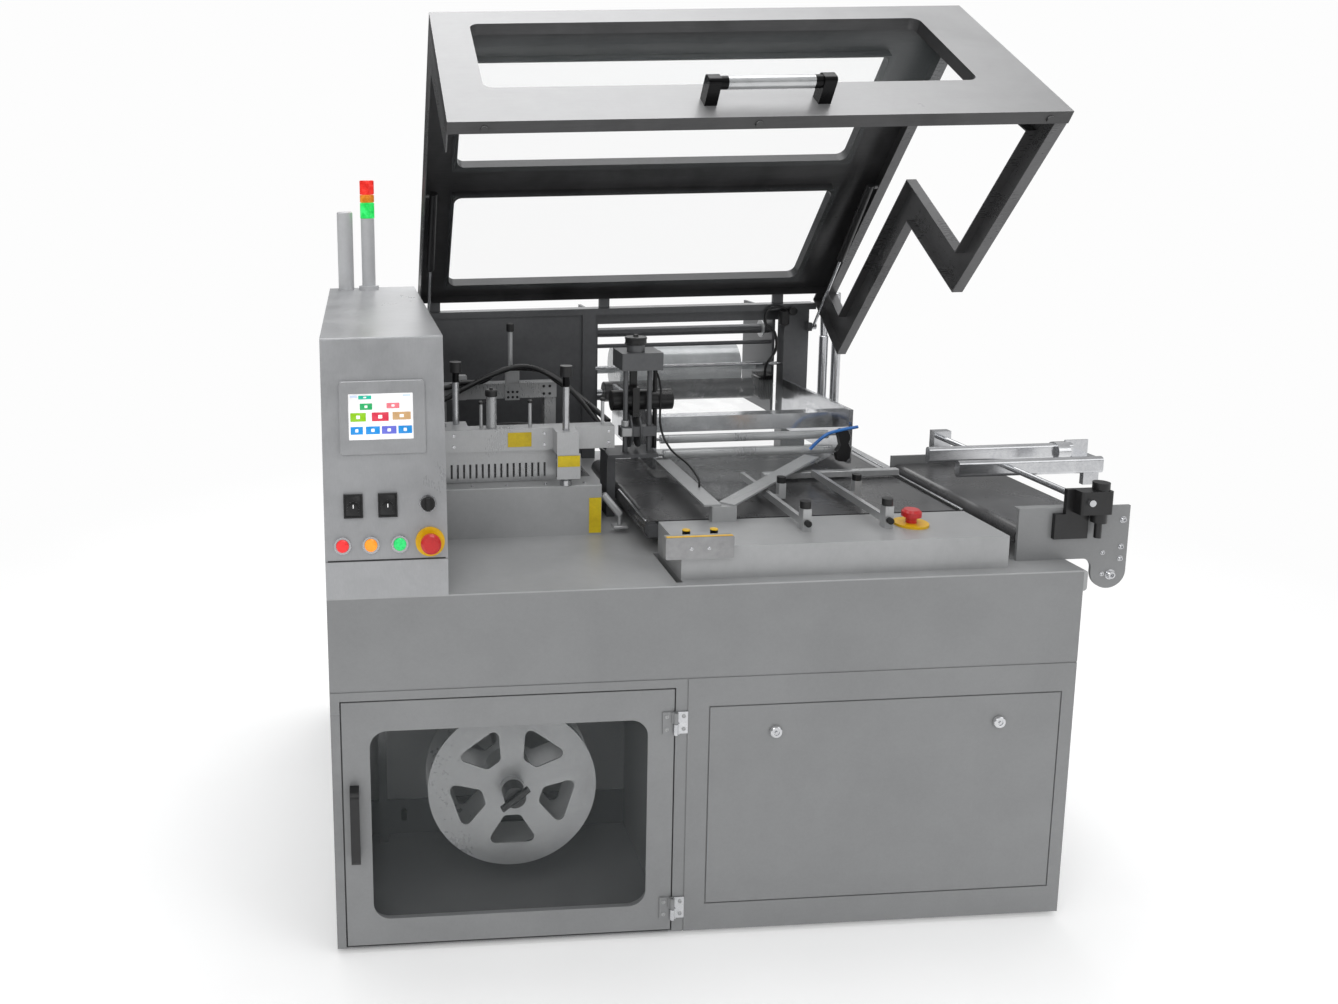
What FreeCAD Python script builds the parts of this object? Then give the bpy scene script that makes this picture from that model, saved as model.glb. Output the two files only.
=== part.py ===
import FreeCAD, Part
import math
import os

# Side-seal film wrapping machine, in millimetres.
# The pieces are drawn in the fitter's frame: X from the left side of the cabinet, Y from its front face
# to the rear, Z from the underside of the sheet-metal cabinet. put() moves each piece to the machine's
# own frame, whose origin is the middle of the plinth's underside.

V = FreeCAD.Vector

# ---------------------------------------------------------------- driving dimensions
sheet = 3.0                    # folded sheet steel
seat_gap = 0.3                 # between a moving piece and what carries it
line_gap = 3.0                 # visible gap round doors and lids

cabinet_width = 1550.0
cabinet_depth = 1020.0
deck_height = 770.0
deck_nose = 8.0                # the deck overhangs the right side
deck_nose_drop = 44.0
plinth_height = 12.0
plinth_inset = 30.0
seam_height = 571.0            # the doors' half ends here, the plain upper band begins
seam_width = 3.0
mullion_x = 731.0              # seam between the left and the right half
slot_x = (708.0, 722.0)        # dark gap between the deck and the sealing table
slot_y = (16.0, 186.0)
slot_depth = 60.0

compartment_side = 25.0
compartment_right = 700.0
compartment_depth = 360.0
compartment_floor = 8.0
compartment_top = 524.0
channel_x = (98.0, 118.0)      # cable channel on the compartment's rear wall
channel_depth = 34.0

door_left = 22.0
door_right = 704.0
door_bottom = 6.0
door_top = 548.0
door_thickness = 22.0
door_window = (78.0, 650.0, 64.0, 484.0)
door_window_radius = 36.0
glass_rebate = 10.0
glass_thickness = 4.0
door_hinge_length = 48.0
door_hinge_heights = (34.0, 452.0)
door_hinge_barrel = 5.0
door_hinge_pin = 2.2
handle_box = (35.0, 54.0, 208.0, 368.0)
handle_reach = 32.0

panel_box = (779.0, 1520.0, 64.0, 505.0)
lock_radius = 14.0
lock_places = ((917.0, 446.0), (1391.0, 446.0))

reel_centre = (386.0, 276.0)
reel_radius = 184.0
reel_front = 112.0
reel_width = 74.0
flange_thickness = 3.0
reel_drum_radius = 52.0
reel_axle_radius = 19.0
reel_windows = 5
reel_window_inner = 68.0
reel_window_outer = 144.0
reel_window_fillet = 13.0
reel_window_phase = -90.0
t_handle_reach = 36.0
t_handle_angle = 38.0

console_width = 243.0
console_depth = 1000.0
console_shoulder = 848.0
console_top = 1284.0
console_lean = 56.0            # the top of the sloping face stands this far back
tunnel_y = (384.0, 704.0)      # where the finished packs leave the machine
tunnel_height = 225.0

screen_box = (35.0, 205.0, 1057.0, 1202.0)
screen_window = (53.0, 181.0, 1086.0, 1177.0)
screen_bezel = 6.0
meter_places = ((58.0, 956.0), (126.0, 956.0))
meter_size = (38.0, 47.0)
selector_place = (205.0, 957.0)
selector_radius = 14.0
button_places = {"red": (35.0, 878.0), "amber": (91.0, 878.0), "green": (148.0, 878.0)}
button_radius = 12.5
button_travel = 3.0
collar_wall = 4.0
stop_place = (208.0, 881.0)
stop_radius = 20.0
stop_stem = 11.0
stop_guard_radius = 29.0
stop_travel = 4.0

tower_place = (112.0, 952.0)
tower_radius = 20.0
tower_stem_top = 1484.0
lamp_heights = {"green": (1484.0, 1528.0), "amber": (1528.5, 1550.0), "red": (1550.5, 1590.0)}
canister_place = (48.0, 952.0)
canister_radius = 22.0
canister_top = 1504.0

# tables and belts: the packs run from right to left
table_top = 838.0
table_left = 692.0
table_right = 1408.0
cover_left = 722.0
cover_front = 30.0
cover_rear = 190.0
belt_thickness = 2.5
belt_radius = 20.0
belt_front = 197.0
belt_rear = 690.0
cheek_thickness = 5.0
outfeed_x = (-12.0, 664.0)
outfeed_y = (432.0, 690.0)
infeed_x = (1446.0, 1680.0)
infeed_y = (73.0, 560.0)
infeed_cheek_top = 884.0
lobe_place = (1648.0, 741.0)
lobe_radius = 38.0

guide_half = (9.0, 19.5)       # half width and half height of a product guide
guide_z = 903.5
front_guide = (1450.0, 1792.0, 290.0)
rear_guide_run = (1450.0, 1808.0, 412.0)
cross_rod_x = 1574.0
cross_rod_radius = 7.0
guide_travel = 110.0

slide_x = (1009.0, 1186.0)
slide_y = (98.0, 450.0)
slide_bar = (10.0, 16.0)       # width and height of a cross slide's bar
slide_z = 848.0

table_stop_place = (1248.0, 118.0)

# long sealing jaw at the left of the table
cover_box = (266.0, 626.0, 310.0, 380.0)
jaw_cover_top = 888.0
jaw_x = (267.0, 664.0)
jaw_y = (345.0, 385.0)
jaw_z = (965.0, 1017.0)
jaw_travel = 80.0
comb_slots = 16
comb_pitch = 14.5
shaft_radius = 8.0
shaft_places = ((545.0, 321.0), (302.0, 409.0))
shaft_top = 1142.0
shaft_cap_top = 1166.0

# side sealing tower
tower_box = (700.0, 798.0, 418.0, 508.0)
tower_base_z = (918.0, 926.0)
tower_head_z = (1130.0, 1172.0)
tower_columns_x = (716.0, 774.0)
tower_column_y = 446.0
tower_column_radius = 6.0

# rear frame and film path
post_y = (944.0, 990.0)
beam_z = (1194.0, 1212.0)
left_post_x = (250.0, 270.0)
middle_post_x = (724.0, 762.0)
right_post_x = (1316.0, 1388.0)
rack_x = (779.0, 1300.0)       # inner faces of the film rack's side plates
rack_rear = 1215.0
roll_centre = (1116.0, 1000.0)
roll_radius = 78.0
rail_x = (822.0, 1316.0)       # inner faces of the film guide's side plates
guide_rollers = {"upper": (588.0, 916.0, 11.0), "lower": (560.0, 884.0, 11.0)}

# guard hood, drawn shut
hood_left = 250.0
hood_right = 1440.0
hinge_y = 960.0
hinge_z = 1250.0
hood_open = 50.0               # degrees
hood_corner_y = 45.0
hood_rear_y = 950.0
lip_y = -10.0
lip_z = 782.0
bumper_reach = 3.5
hood_bar = 26.0                # depth of the folded frames
hood_skin = 3.0
top_windows = ((80.0, 400.0), (500.0, 800.0))   # distance from the hinge
front_window = (128.0, 410.0)                   # distance from the near edge
window_x = (332.0, 1318.0)
window_radius = 20.0
pane_overlap = 12.0
pane_thickness = 4.0
end_thickness = 24.0
end_rib = 72.0
end_step_y = 500.0
end_step_z = 1036.0
end_rear_y = 1000.0
hinge_places = (330.0, 820.0, 1330.0)
hinge_knuckle = 30.0
hinge_radius = 8.0
hinge_pin_radius = 4.0

spring_x = (275.0, 1396.0)
spring_low = (932.0, 1146.0)   # Y and Z of the pivots on the rear frame
spring_high = (530.0, 1200.0)  # Y and Z of the pivots on the shut hood
spring_tube_radius = 10.0
spring_rod_radius = 4.0
spring_tube_length = 255.0
spring_eye_radius = 9.0
spring_stroke = 88.0
spring_pin_radius = 4.0


# ---------------------------------------------------------------- helpers
def put(shape, name):
    """Writes one piece, moved to the machine's own frame."""
    moved = shape.copy()
    moved.translate(V(-cabinet_width / 2, -cabinet_depth / 2, plinth_height))
    if not moved.isValid():
        raise ValueError(name + " is not a valid solid")
    moved.exportStep("parts/" + name + ".step")


def block(x, y, z):
    """A box between two X, two Y and two Z values."""
    return Part.makeBox(x[1] - x[0], y[1] - y[0], z[1] - z[0], V(x[0], y[0], z[0]))


def rod(start, end, radius):
    """A round bar between two points."""
    a, b = V(*start), V(*end)
    return Part.makeCylinder(radius, (b - a).Length, a, b - a)


def tube(start, end, outer, inner):
    return rod(start, end, outer).cut(rod(start, end, inner))


def joined(shapes):
    """One solid from shapes that touch or overlap."""
    body = shapes[0]
    if len(shapes) > 1:
        body = body.multiFuse(shapes[1:])
    body = body.removeSplitter()
    return body.Solids[0] if len(body.Solids) == 1 else body


def group(shapes):
    """Like pieces that don't touch, kept as separate solids of one node."""
    return Part.makeCompound(shapes)


def edges_along(shape, axis, where=None):
    """The straight edges along an axis, of those whose middle passes a test."""
    found = []
    for edge in shape.Edges:
        along = abs(getattr(edge.tangentAt(edge.FirstParameter), axis)) > 0.99
        if along and (where is None or where(edge.CenterOfMass)):
            found.append(edge)
    return found


def rounded_slab_y(x, z, radius, y):
    """A slab with round corners seen from the front, between two Y values."""
    slab = block(x, y, z)
    return slab.makeFillet(radius, edges_along(slab, "y"))


def prism_x(points, x):
    """A prism along X on a closed outline of (y, z) points."""
    corners = [V(x[0], p[0], p[1]) for p in points]
    wire = Part.makePolygon(corners + [corners[0]])
    return Part.Face(wire).extrude(V(x[1] - x[0], 0, 0))


# ---------------------------------------------------------------- cabinet
def base_plinth():
    return block((plinth_inset, cabinet_width - plinth_inset), (plinth_inset, cabinet_depth - plinth_inset),
                 (-plinth_height, 0))


def door_rebate():
    """The space that the door needs in the cabinet's front."""
    return block((door_left - line_gap, door_right + line_gap), (-1, door_thickness + line_gap),
                 (door_bottom - line_gap, door_top + line_gap))


def cabinet_housing():
    """Closed rear and right part of the folded cabinet, with the upper band across the whole front."""
    body = block((0, cabinet_width), (0, cabinet_depth), (0, deck_height - sheet))
    compartment = block((-1, compartment_right), (-1, compartment_depth), (-1, compartment_top))
    half = seam_width / 2
    seams = [block((-1, cabinet_width + 1), (-1, half), (seam_height - half, seam_height + half)),
             block((mullion_x - half, mullion_x + half), (-1, half), (-1, seam_height))]
    rebate = block((panel_box[0] - line_gap, panel_box[1] + line_gap), (-1, sheet),
                   (panel_box[2] - line_gap, panel_box[3] + line_gap))
    slot = block(slot_x, slot_y, (deck_height - slot_depth, deck_height))
    return body.cut(compartment).cut(door_rebate()).cut(joined(seams)).cut(rebate).cut(slot)


def compartment_liner():
    """Left wall, floor and cable channel of the compartment behind the door."""
    top = compartment_top
    wall = block((0, compartment_side), (0, compartment_depth), (0, top))
    floor = block((0, compartment_right), (0, compartment_depth), (0, compartment_floor))
    channel = block(channel_x, (compartment_depth - channel_depth, compartment_depth), (compartment_floor, top))
    fold = block((compartment_side, compartment_right), (compartment_depth - sheet, compartment_depth),
                 (compartment_floor, compartment_floor + 90.0))
    return joined([wall, floor, channel, fold]).cut(door_rebate())


def access_panel():
    """The lift-off panel in its rebate, with two quarter-turn locks."""
    panel = block(panel_box[:2], (0, sheet), panel_box[2:])
    pieces = [panel]
    for x, z in lock_places:
        cap = rod((x, -4.0, z), (x, 0, z), lock_radius)
        rim = [e for e in cap.Edges if abs(e.CenterOfMass.y + 4.0) < 0.01]
        cap = cap.makeChamfer(2.0, rim)
        pieces.append(cap.cut(block((x - 8.0, x + 8.0), (-4.0, -2.5), (z - 1.5, z + 1.5))))
    return joined(pieces)


def deck_plate():
    """Top skin, with a turned-down nose at the right and the gap beside the sealing table."""
    skin = block((0, cabinet_width), (0, cabinet_depth), (deck_height - sheet, deck_height))
    nose = block((cabinet_width, cabinet_width + deck_nose), (0, cabinet_depth),
                 (deck_height - deck_nose_drop, deck_height))
    nose = nose.makeFillet(deck_nose - 1.0, edges_along(nose, "y", lambda c: c.x > cabinet_width + 1))
    slot = block(slot_x, slot_y, (deck_height - sheet - 1, deck_height + 1))
    return joined([skin, nose]).cut(slot)


def cabinet_door():
    """Door leaf with its window, and the moving halves of its hinges."""
    leaf = block((door_left, door_right), (0, door_thickness), (door_bottom, door_top))
    window = rounded_slab_y(door_window[:2], door_window[2:], door_window_radius, (-1, door_thickness + 1))
    r = glass_rebate
    rebate = rounded_slab_y((door_window[0] - r, door_window[1] + r), (door_window[2] - r, door_window[3] + r),
                            door_window_radius + r, (sheet, door_thickness + 1))
    return joined([leaf.cut(window).cut(rebate)] + door_hinge_halves(moving=True))


def door_glass():
    r = glass_rebate
    return rounded_slab_y((door_window[0] - r, door_window[1] + r), (door_window[2] - r, door_window[3] + r),
                          door_window_radius + r, (sheet, sheet + glass_thickness))


def door_hinge_halves(moving):
    """A plate and a barrel for each hinge. The pin belongs to the fixed half."""
    pin_x, pin_y = door_right + line_gap / 2, -door_hinge_barrel - 1.0
    pieces = []
    for low in door_hinge_heights:
        high = low + door_hinge_length
        middle = (low + high) / 2
        side = -1 if moving else 1
        plate_x = sorted((pin_x + side * 5.0, pin_x + side * 26.0))
        arm_x = sorted((pin_x, pin_x + side * 8.0))
        z = (middle + 0.5, high) if moving else (low, middle - 0.5)
        plate = block(plate_x, (-3.0, 0), (low, high))
        arm = block(arm_x, (pin_y, -3.0), z)
        barrel = rod((pin_x, pin_y, z[0]), (pin_x, pin_y, z[1]), door_hinge_barrel)
        half = joined([plate, arm, barrel])
        if moving:
            bore = rod((pin_x, pin_y, low), (pin_x, pin_y, high + 1.0), door_hinge_pin + seat_gap)
            half = half.cut(bore)
        else:
            pin = rod((pin_x, pin_y, low), (pin_x, pin_y, high - 1.0), door_hinge_pin)
            half = joined([half, pin])
        pieces.append(half)
    return pieces


def door_handle():
    """Black bow handle."""
    x, z = handle_box[:2], handle_box[2:]
    bow = block(x, (-handle_reach, 0), z)
    bow = bow.makeFillet(12.0, edges_along(bow, "x", lambda c: c.y < -handle_reach + 1))
    grip = block((x[0] - 1, x[1] + 1), (-handle_reach + 12.0, 1), (z[0] + 24.0, z[1] - 24.0))
    return bow.cut(grip)


# ---------------------------------------------------------------- scrap reel
def reel_window(angle):
    """One tapered window of a flange, as a prism along Y."""
    cx, cz = reel_centre
    corners = []
    for radius, half, order in ((reel_window_inner, 15.0, (-1, 1)), (reel_window_outer, 24.0, (1, -1))):
        for sign in order:
            a = math.radians(angle + sign * half)
            corners.append(V(cx + radius * math.cos(a), reel_front - 5.0, cz + radius * math.sin(a)))
    prism = Part.Face(Part.makePolygon(corners + [corners[0]])).extrude(V(0, reel_width + 20.0, 0))
    return prism.makeFillet(reel_window_fillet, edges_along(prism, "y"))


def scrap_reel():
    """Two flanges with tapered windows, on a drum."""
    cx, cz = reel_centre
    windows = [reel_window(reel_window_phase + k * 360.0 / reel_windows) for k in range(reel_windows)]
    rear = reel_front + reel_width
    flanges = [rod((cx, y, cz), (cx, y + flange_thickness, cz), reel_radius).cut(group(windows))
               for y in (reel_front, rear - flange_thickness)]
    drum = rod((cx, reel_front, cz), (cx, rear, cz), reel_drum_radius)
    boss = rod((cx, reel_front - 10.0, cz), (cx, reel_front, cz), reel_axle_radius + 8.0)
    bore = rod((cx, reel_front - 20.0, cz), (cx, rear + 5.0, cz), reel_axle_radius + seat_gap)
    return joined(flanges + [drum, boss]).cut(bore)


def reel_axle():
    """Fixed spindle with its shoulder, on a flange at the compartment's rear wall."""
    cx, cz = reel_centre
    rear = reel_front + reel_width
    spindle = rod((cx, reel_front - 12.0, cz), (cx, compartment_depth, cz), reel_axle_radius)
    flange = rod((cx, compartment_depth - 12.0, cz), (cx, compartment_depth, cz), 60.0)
    shoulder = rod((cx, rear + seat_gap, cz), (cx, rear + 20.0, cz), reel_axle_radius + 14.0)
    return joined([spindle, flange, shoulder])


def reel_handle():
    """Black T handle that clamps the reel on its spindle and turns with it."""
    cx, cz = reel_centre
    face = reel_front - 10.0
    hub = tube((cx, face - 26.0, cz), (cx, face, cz), reel_axle_radius + 5.0, reel_axle_radius + 0.5)
    cap = rod((cx, face - 30.0, cz), (cx, face - 14.0, cz), reel_axle_radius + 5.0)
    a = math.radians(t_handle_angle)
    dx, dz = t_handle_reach * math.cos(a), t_handle_reach * math.sin(a)
    bar = rod((cx - dx, face - 34.0, cz - dz), (cx + dx, face - 34.0, cz + dz), 7.0)
    return joined([hub, cap, bar])


# ---------------------------------------------------------------- control console
def console_housing():
    """Closed control cabinet at the left, with the outlet tunnel for the finished packs."""
    outline = [(0, deck_height), (0, console_shoulder), (console_lean, console_top),
               (console_depth, console_top), (console_depth, deck_height)]
    body = prism_x(outline, (0, console_width))
    rim = edges_along(body, "x", lambda c: c.z > console_top - 1)
    body = body.makeFillet(4.0, rim)
    tunnel = block((-1, console_width + 1), tunnel_y, (deck_height - 1, deck_height + tunnel_height))
    step = block((-1, console_width + 1), (-1, 2.0), (console_shoulder - 3.0, console_shoulder))
    return body.cut(tunnel).cut(step)


def on_face(shape):
    """Tilts a piece that was drawn on an upright front on to the sloping face."""
    slope = math.degrees(math.atan2(console_lean, console_top - console_shoulder))
    copy = shape.copy()
    copy.rotate(V(0, 0, console_shoulder), V(1, 0, 0), -slope)
    return copy


def touch_screen():
    """Operating panel: bezel with a recessed display."""
    bezel = rounded_slab_y(screen_box[:2], screen_box[2:], 6.0, (-screen_bezel, 0))
    front = [e for e in bezel.Edges if e.CenterOfMass.y < -screen_bezel + 0.1]
    pocket = block(screen_window[:2], (-screen_bezel - 1, -screen_bezel + 1.5), screen_window[2:])
    return on_face(bezel.makeChamfer(1.5, front).cut(pocket))


def dial_meters():
    """Two square adjusters with a round knob behind a raised rim."""
    pieces = []
    w, h = meter_size
    for x, z in meter_places:
        body = block((x - w / 2, x + w / 2), (-6.0, 0), (z - h / 2, z + h / 2))
        pocket = block((x - w / 2 + 3.0, x + w / 2 - 3.0), (-7.0, -4.0), (z - h / 2 + 3.0, z + h / 2 - 3.0))
        knob = rod((x, -12.0, z - 3.0), (x, -3.0, z - 3.0), 9.0)
        pieces.append(on_face(joined([body.cut(pocket), knob])))
    return group(pieces)


def button_collars():
    """Bright rings round the push buttons and under the selector."""
    pieces = []
    for x, z in button_places.values():
        inner = button_radius + 0.5
        pieces.append(on_face(tube((x, -5.0, z), (x, 0, z), inner + collar_wall, inner)))
    x, z = selector_place
    pieces.append(on_face(tube((x, -5.0, z), (x, 0, z), selector_radius + 3.0, selector_radius - 5.0)))
    return group(pieces)


def push_button(place):
    x, z = place
    cap = rod((x, -9.0, z), (x, -button_travel - 0.5, z), button_radius)
    rim = [e for e in cap.Edges if abs(e.CenterOfMass.y + 9.0) < 0.01]
    return on_face(cap.makeChamfer(2.0, rim))


def selector_knob():
    x, z = selector_place
    r = selector_radius
    skirt = rod((x, -13.0, z), (x, -5.0 - seat_gap, z), r)
    grip = block((x - 4.0, x + 4.0), (-22.0, -12.0), (z - r + 1.0, z + r - 1.0))
    return on_face(joined([skirt, grip]))


def stop_head(centre_x, depth):
    """Mushroom head and stem of an emergency stop, along -Y from a face at Y 0, with the face at height 0."""
    x = centre_x
    head = rod((x, -depth, 0), (x, -depth + 15.0, 0), stop_radius)
    rim = [e for e in head.Edges if abs(e.CenterOfMass.y + depth) < 0.01]
    stem = rod((x, -depth + 14.0, 0), (x, -stop_travel - 1.0, 0), stop_stem)
    return joined([head.makeChamfer(5.0, rim), stem])


def panel_stop():
    x, z = stop_place
    head = stop_head(x, 34.0)
    head.translate(V(0, 0, z))
    return on_face(head)


def table_stop():
    x, y = table_stop_place
    head = stop_head(0, 34.0)
    head.rotate(V(0, 0, 0), V(1, 0, 0), -90)
    head.translate(V(x, y, table_top))
    return head


def stop_guards():
    """Yellow plates under the two emergency stops."""
    x, z = stop_place
    inner = stop_stem + 0.4
    panel = on_face(tube((x, -5.0, z), (x, 0, z), stop_guard_radius, inner))
    x, y = table_stop_place
    table = tube((x, y, table_top), (x, y, table_top + 5.0), stop_guard_radius + 6.0, inner)
    return group([panel, table])


def console_columns():
    """Stem of the signal tower and the filter canister on the console's roof."""
    x, y = tower_place
    foot = rod((x, y, console_top), (x, y, console_top + 10.0), tower_radius + 8.0)
    stem = rod((x, y, console_top), (x, y, tower_stem_top), tower_radius - 1.0)
    cx, cy = canister_place
    canister = rod((cx, cy, console_top), (cx, cy, canister_top), canister_radius)
    rim = [e for e in canister.Edges if abs(e.CenterOfMass.z - canister_top) < 0.01]
    return group([joined([foot, stem]), canister.makeChamfer(3.0, rim)])


def signal_lamp(colour):
    x, y = tower_place
    low, high = lamp_heights[colour]
    lens = rod((x, y, low), (x, y, high), tower_radius)
    rims = [e for e in lens.Edges if e.Closed]
    return lens.makeChamfer(1.5, rims)


# ---------------------------------------------------------------- tables and belts
def belt_loop(x, y):
    """A closed belt with two flat runs and two round ends."""
    z = table_top - belt_radius

    def capsule(r, over):
        wide = (y[0] - over, y[1] + over)
        left, right = x[0] + belt_radius, x[1] - belt_radius
        return joined([block((left, right), wide, (z - r, z + r)),
                       rod((left, wide[0], z), (left, wide[1], z), r),
                       rod((right, wide[0], z), (right, wide[1], z), r)])
    return capsule(belt_radius, 0.0).cut(capsule(belt_radius - belt_thickness, 1.0))


def belt_bed(x, y, legs=True):
    """Slider bed and end rollers inside a belt, between two cheeks on feet."""
    z = table_top - belt_radius
    r = belt_radius - belt_thickness - seat_gap
    left, right = x[0] + belt_radius, x[1] - belt_radius
    over = (y[0] - 1.0, y[1] + 1.0)
    pieces = [block((left + 1.6 * r, right - 1.6 * r), over, (z - r, z + r))]
    pieces += [rod((c, over[0], z), (c, over[1], z), r) for c in (left, right)]
    for side in (over[0] - cheek_thickness, over[1]):
        cheek_y = (side, side + cheek_thickness)
        pieces.append(block((left - 12.0, right + 12.0), cheek_y, (z - 16.0, z + 12.0)))
        if legs:
            for share in (0.2, 0.8):
                c = left + share * (right - left)
                pieces.append(block((c - 20.0, c + 20.0), cheek_y, (deck_height, z - 16.0)))
    return joined(pieces)


def table_cover():
    """Folded front cover of the sealing table: front, top plate, ends and rear flange."""
    x, y, z = (cover_left, table_right), (cover_front, cover_rear), (deck_height, table_top)
    outer = block(x, y, z)
    inner = block((x[0] + sheet, x[1] - sheet), (y[0] + sheet, y[1] - sheet), (z[0] - 1, z[1] - sheet))
    return outer.cut(inner)


def infeed_cheek(y, top):
    """Side plate of the infeed table with a round lobe at its outer end."""
    lx, lz = lobe_place
    right = lx + lobe_radius
    upper = block((infeed_x[0], right), y, (deck_height, top))
    lobe = rod((lx, y[0], lz), (lx, y[1], lz), lobe_radius)
    hang = block((lx - lobe_radius, right), y, (lz, deck_height))
    fillet_r = 20.0
    corner = block((lx - lobe_radius - fillet_r, lx - lobe_radius), y, (deck_height - fillet_r, deck_height))
    scoop = rod((lx - lobe_radius - fillet_r, y[0] - 1, deck_height - fillet_r),
                (lx - lobe_radius - fillet_r, y[1] + 1, deck_height - fillet_r), fillet_r)
    return joined([upper, lobe, hang, corner.cut(scoop)])


def infeed_frame():
    front = infeed_cheek((infeed_y[0] - 12.0, infeed_y[0] - 6.0), infeed_cheek_top)
    lip = block((infeed_x[0], infeed_x[1] - 40.0), (infeed_y[0] - 12.0, infeed_y[0] + 6.0),
                (infeed_cheek_top - sheet, infeed_cheek_top))
    rear = infeed_cheek((infeed_y[1] + 6.0, infeed_y[1] + 12.0), infeed_cheek_top - 26.0)
    return joined([front, lip, rear, belt_bed(infeed_x, infeed_y, legs=False)])


# ---------------------------------------------------------------- guides and slides
def guide_bar(run, ends):
    """A polished product guide: a bar with round edges along X."""
    w, h = guide_half
    y = run[2]
    bar = block(run[:2], (y - w, y + w), (guide_z - h, guide_z + h))
    bar = bar.makeFillet(w - 0.5, edges_along(bar, "x"))
    return bar


def guide_carriage():
    """Front product guide, its cross rod and the end bracket."""
    bar = guide_bar(front_guide, True)
    y = front_guide[2]
    cross = rod((cross_rod_x, 22.0, guide_z), (cross_rod_x, y, guide_z), cross_rod_radius)
    foot = block((front_guide[1] - 44.0, front_guide[1] - 8.0), (y - 6.0, y + 6.0), (guide_z - 46.0, guide_z - 10.0))
    return joined([bar, cross, foot])


def rear_guide():
    """Rear product guide with its collar, end bracket and the rod to the rear cheek."""
    bar = guide_bar(rear_guide_run, True)
    right, y = rear_guide_run[1], rear_guide_run[2]
    collar = rod((right - 44.0, y, guide_z), (right - 14.0, y, guide_z), guide_half[1] + 3.0)
    bracket = block((right, right + 58.0), (y - 26.0, y + 24.0), (guide_z - 20.0, guide_z - 14.0))
    upright = block((right, right + 58.0), (y + 20.0, y + 24.0), (guide_z - 20.0, guide_z + 20.0))
    link = block((right - 8.0, right + 2.0), (y - 12.0, y + 12.0), (guide_z - 20.0, guide_z - 8.0))
    rear = infeed_y[1] + 6.0
    cross = rod((cross_rod_x, y, guide_z), (cross_rod_x, rear + 20.0, guide_z), cross_rod_radius)
    clamp = block((cross_rod_x - 22.0, cross_rod_x + 22.0), (rear - 8.0, rear + 14.0),
                  (infeed_cheek_top - 26.0, guide_z + 18.0))
    return joined([bar, collar, bracket, upright, link, cross, clamp])


def guide_clamp():
    """Clamp block and bracket on the front cheek, bored for the cross rod, with the vertical clamping screw."""
    face = infeed_y[0] - 12.0
    x = cross_rod_x
    plate = block((x - 56.0, x + 16.0), (face - 9.0, face), (818.0, 872.0))
    riser = block((x - 34.0, x + 16.0), (face - 9.0, face), (872.0, guide_z + 22.0))
    body = block((x - 18.0, x + 50.0), (face - 32.0, face), (876.0, guide_z + 22.0))
    body = body.makeFillet(5.0, edges_along(body, "z", lambda c: c.y < face - 31.0))
    bore = rod((x, 0, guide_z), (x, 100.0, guide_z), cross_rod_radius + seat_gap)
    screw_x, screw_y = x + 32.0, face - 16.0
    collar = rod((screw_x, screw_y, 856.0), (screw_x, screw_y, 876.0), 15.0)
    stem = rod((screw_x, screw_y, 822.0), (screw_x, screw_y, 856.0), 7.0)
    return joined([plate, riser, body, collar, stem]).cut(bore)


def cross_slides():
    """Two bars across the belt, each on a front block, with a clamp near the middle."""
    w, h = slide_bar
    pieces = []
    for x in slide_x:
        bar = block((x - w / 2, x + w / 2), slide_y, (slide_z, slide_z + h))
        front = block((x - 6.0, x + 12.0), (slide_y[0], slide_y[0] + 22.0), (table_top, slide_z + 38.0))
        strap = block((x, x + 38.0), (286.0, 300.0), (slide_z, slide_z + 8.0))
        clamp = block((x + 22.0, x + 38.0), (286.0, 304.0), (slide_z, slide_z + 36.0))
        pieces.append(joined([bar, front, strap, clamp]))
    return group(pieces)


def hand_knobs():
    """Black knobs and caps of the slides, the infeed clamp, the side sealer and the jaw's shafts."""
    pieces = []
    for x in slide_x:
        front_y = slide_y[0] + 11.0
        top = slide_z + 38.0
        pieces.append(rod((x + 3.0, front_y, top), (x + 3.0, front_y, top + 15.0), 11.0))
        pieces.append(rod((x + 3.0, slide_y[0] - 8.0, slide_z + 8.0), (x + 3.0, slide_y[0], slide_z + 8.0), 7.0))
        pieces.append(rod((x + 30.0, 295.0, slide_z + 36.0), (x + 30.0, 295.0, slide_z + 50.0), 10.0))
    clamp_top = guide_z + 22.0
    x, y = cross_rod_x + 32.0, infeed_y[0] - 12.0 - 16.0
    pieces.append(rod((x, y, clamp_top), (x, y, clamp_top + 16.0), 16.0))
    x, y = (tower_columns_x[0] + tower_columns_x[1]) / 2 - 6.0, tower_column_y
    cap = rod((x, y, tower_head_z[1] + 18.0), (x, y, tower_head_z[1] + 36.0), 25.0)
    pieces.append(cap)
    pieces += [rod((x, y, shaft_top), (x, y, shaft_cap_top), shaft_radius + 6.0) for x, y in shaft_places]
    return group(pieces)


def hood_catches():
    """Carrier bracket of the hood's catches on the table cover, and the two magnets."""
    carrier = block((684.0, 824.0), (12.0, cover_front), (820.0, 866.0))
    carrier = carrier.makeFillet(3.0, edges_along(carrier, "y"))
    magnets = []
    for x in (740.0, 798.0):
        base = rod((x, 58.0, table_top), (x, 58.0, table_top + 8.0), 12.0)
        head = rod((x, 58.0, table_top + 8.0), (x, 58.0, table_top + 26.0), 8.0)
        magnets.append(joined([base, head]))
    return group([carrier] + magnets)


# ---------------------------------------------------------------- sealing section
def lower_jaw_cover():
    x, y = cover_box[:2], cover_box[2:]
    outer = block(x, y, (deck_height, jaw_cover_top))
    return outer.makeFillet(3.0, edges_along(outer, "x", lambda c: c.z > jaw_cover_top - 1 and c.y < y[0] + 1))


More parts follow.
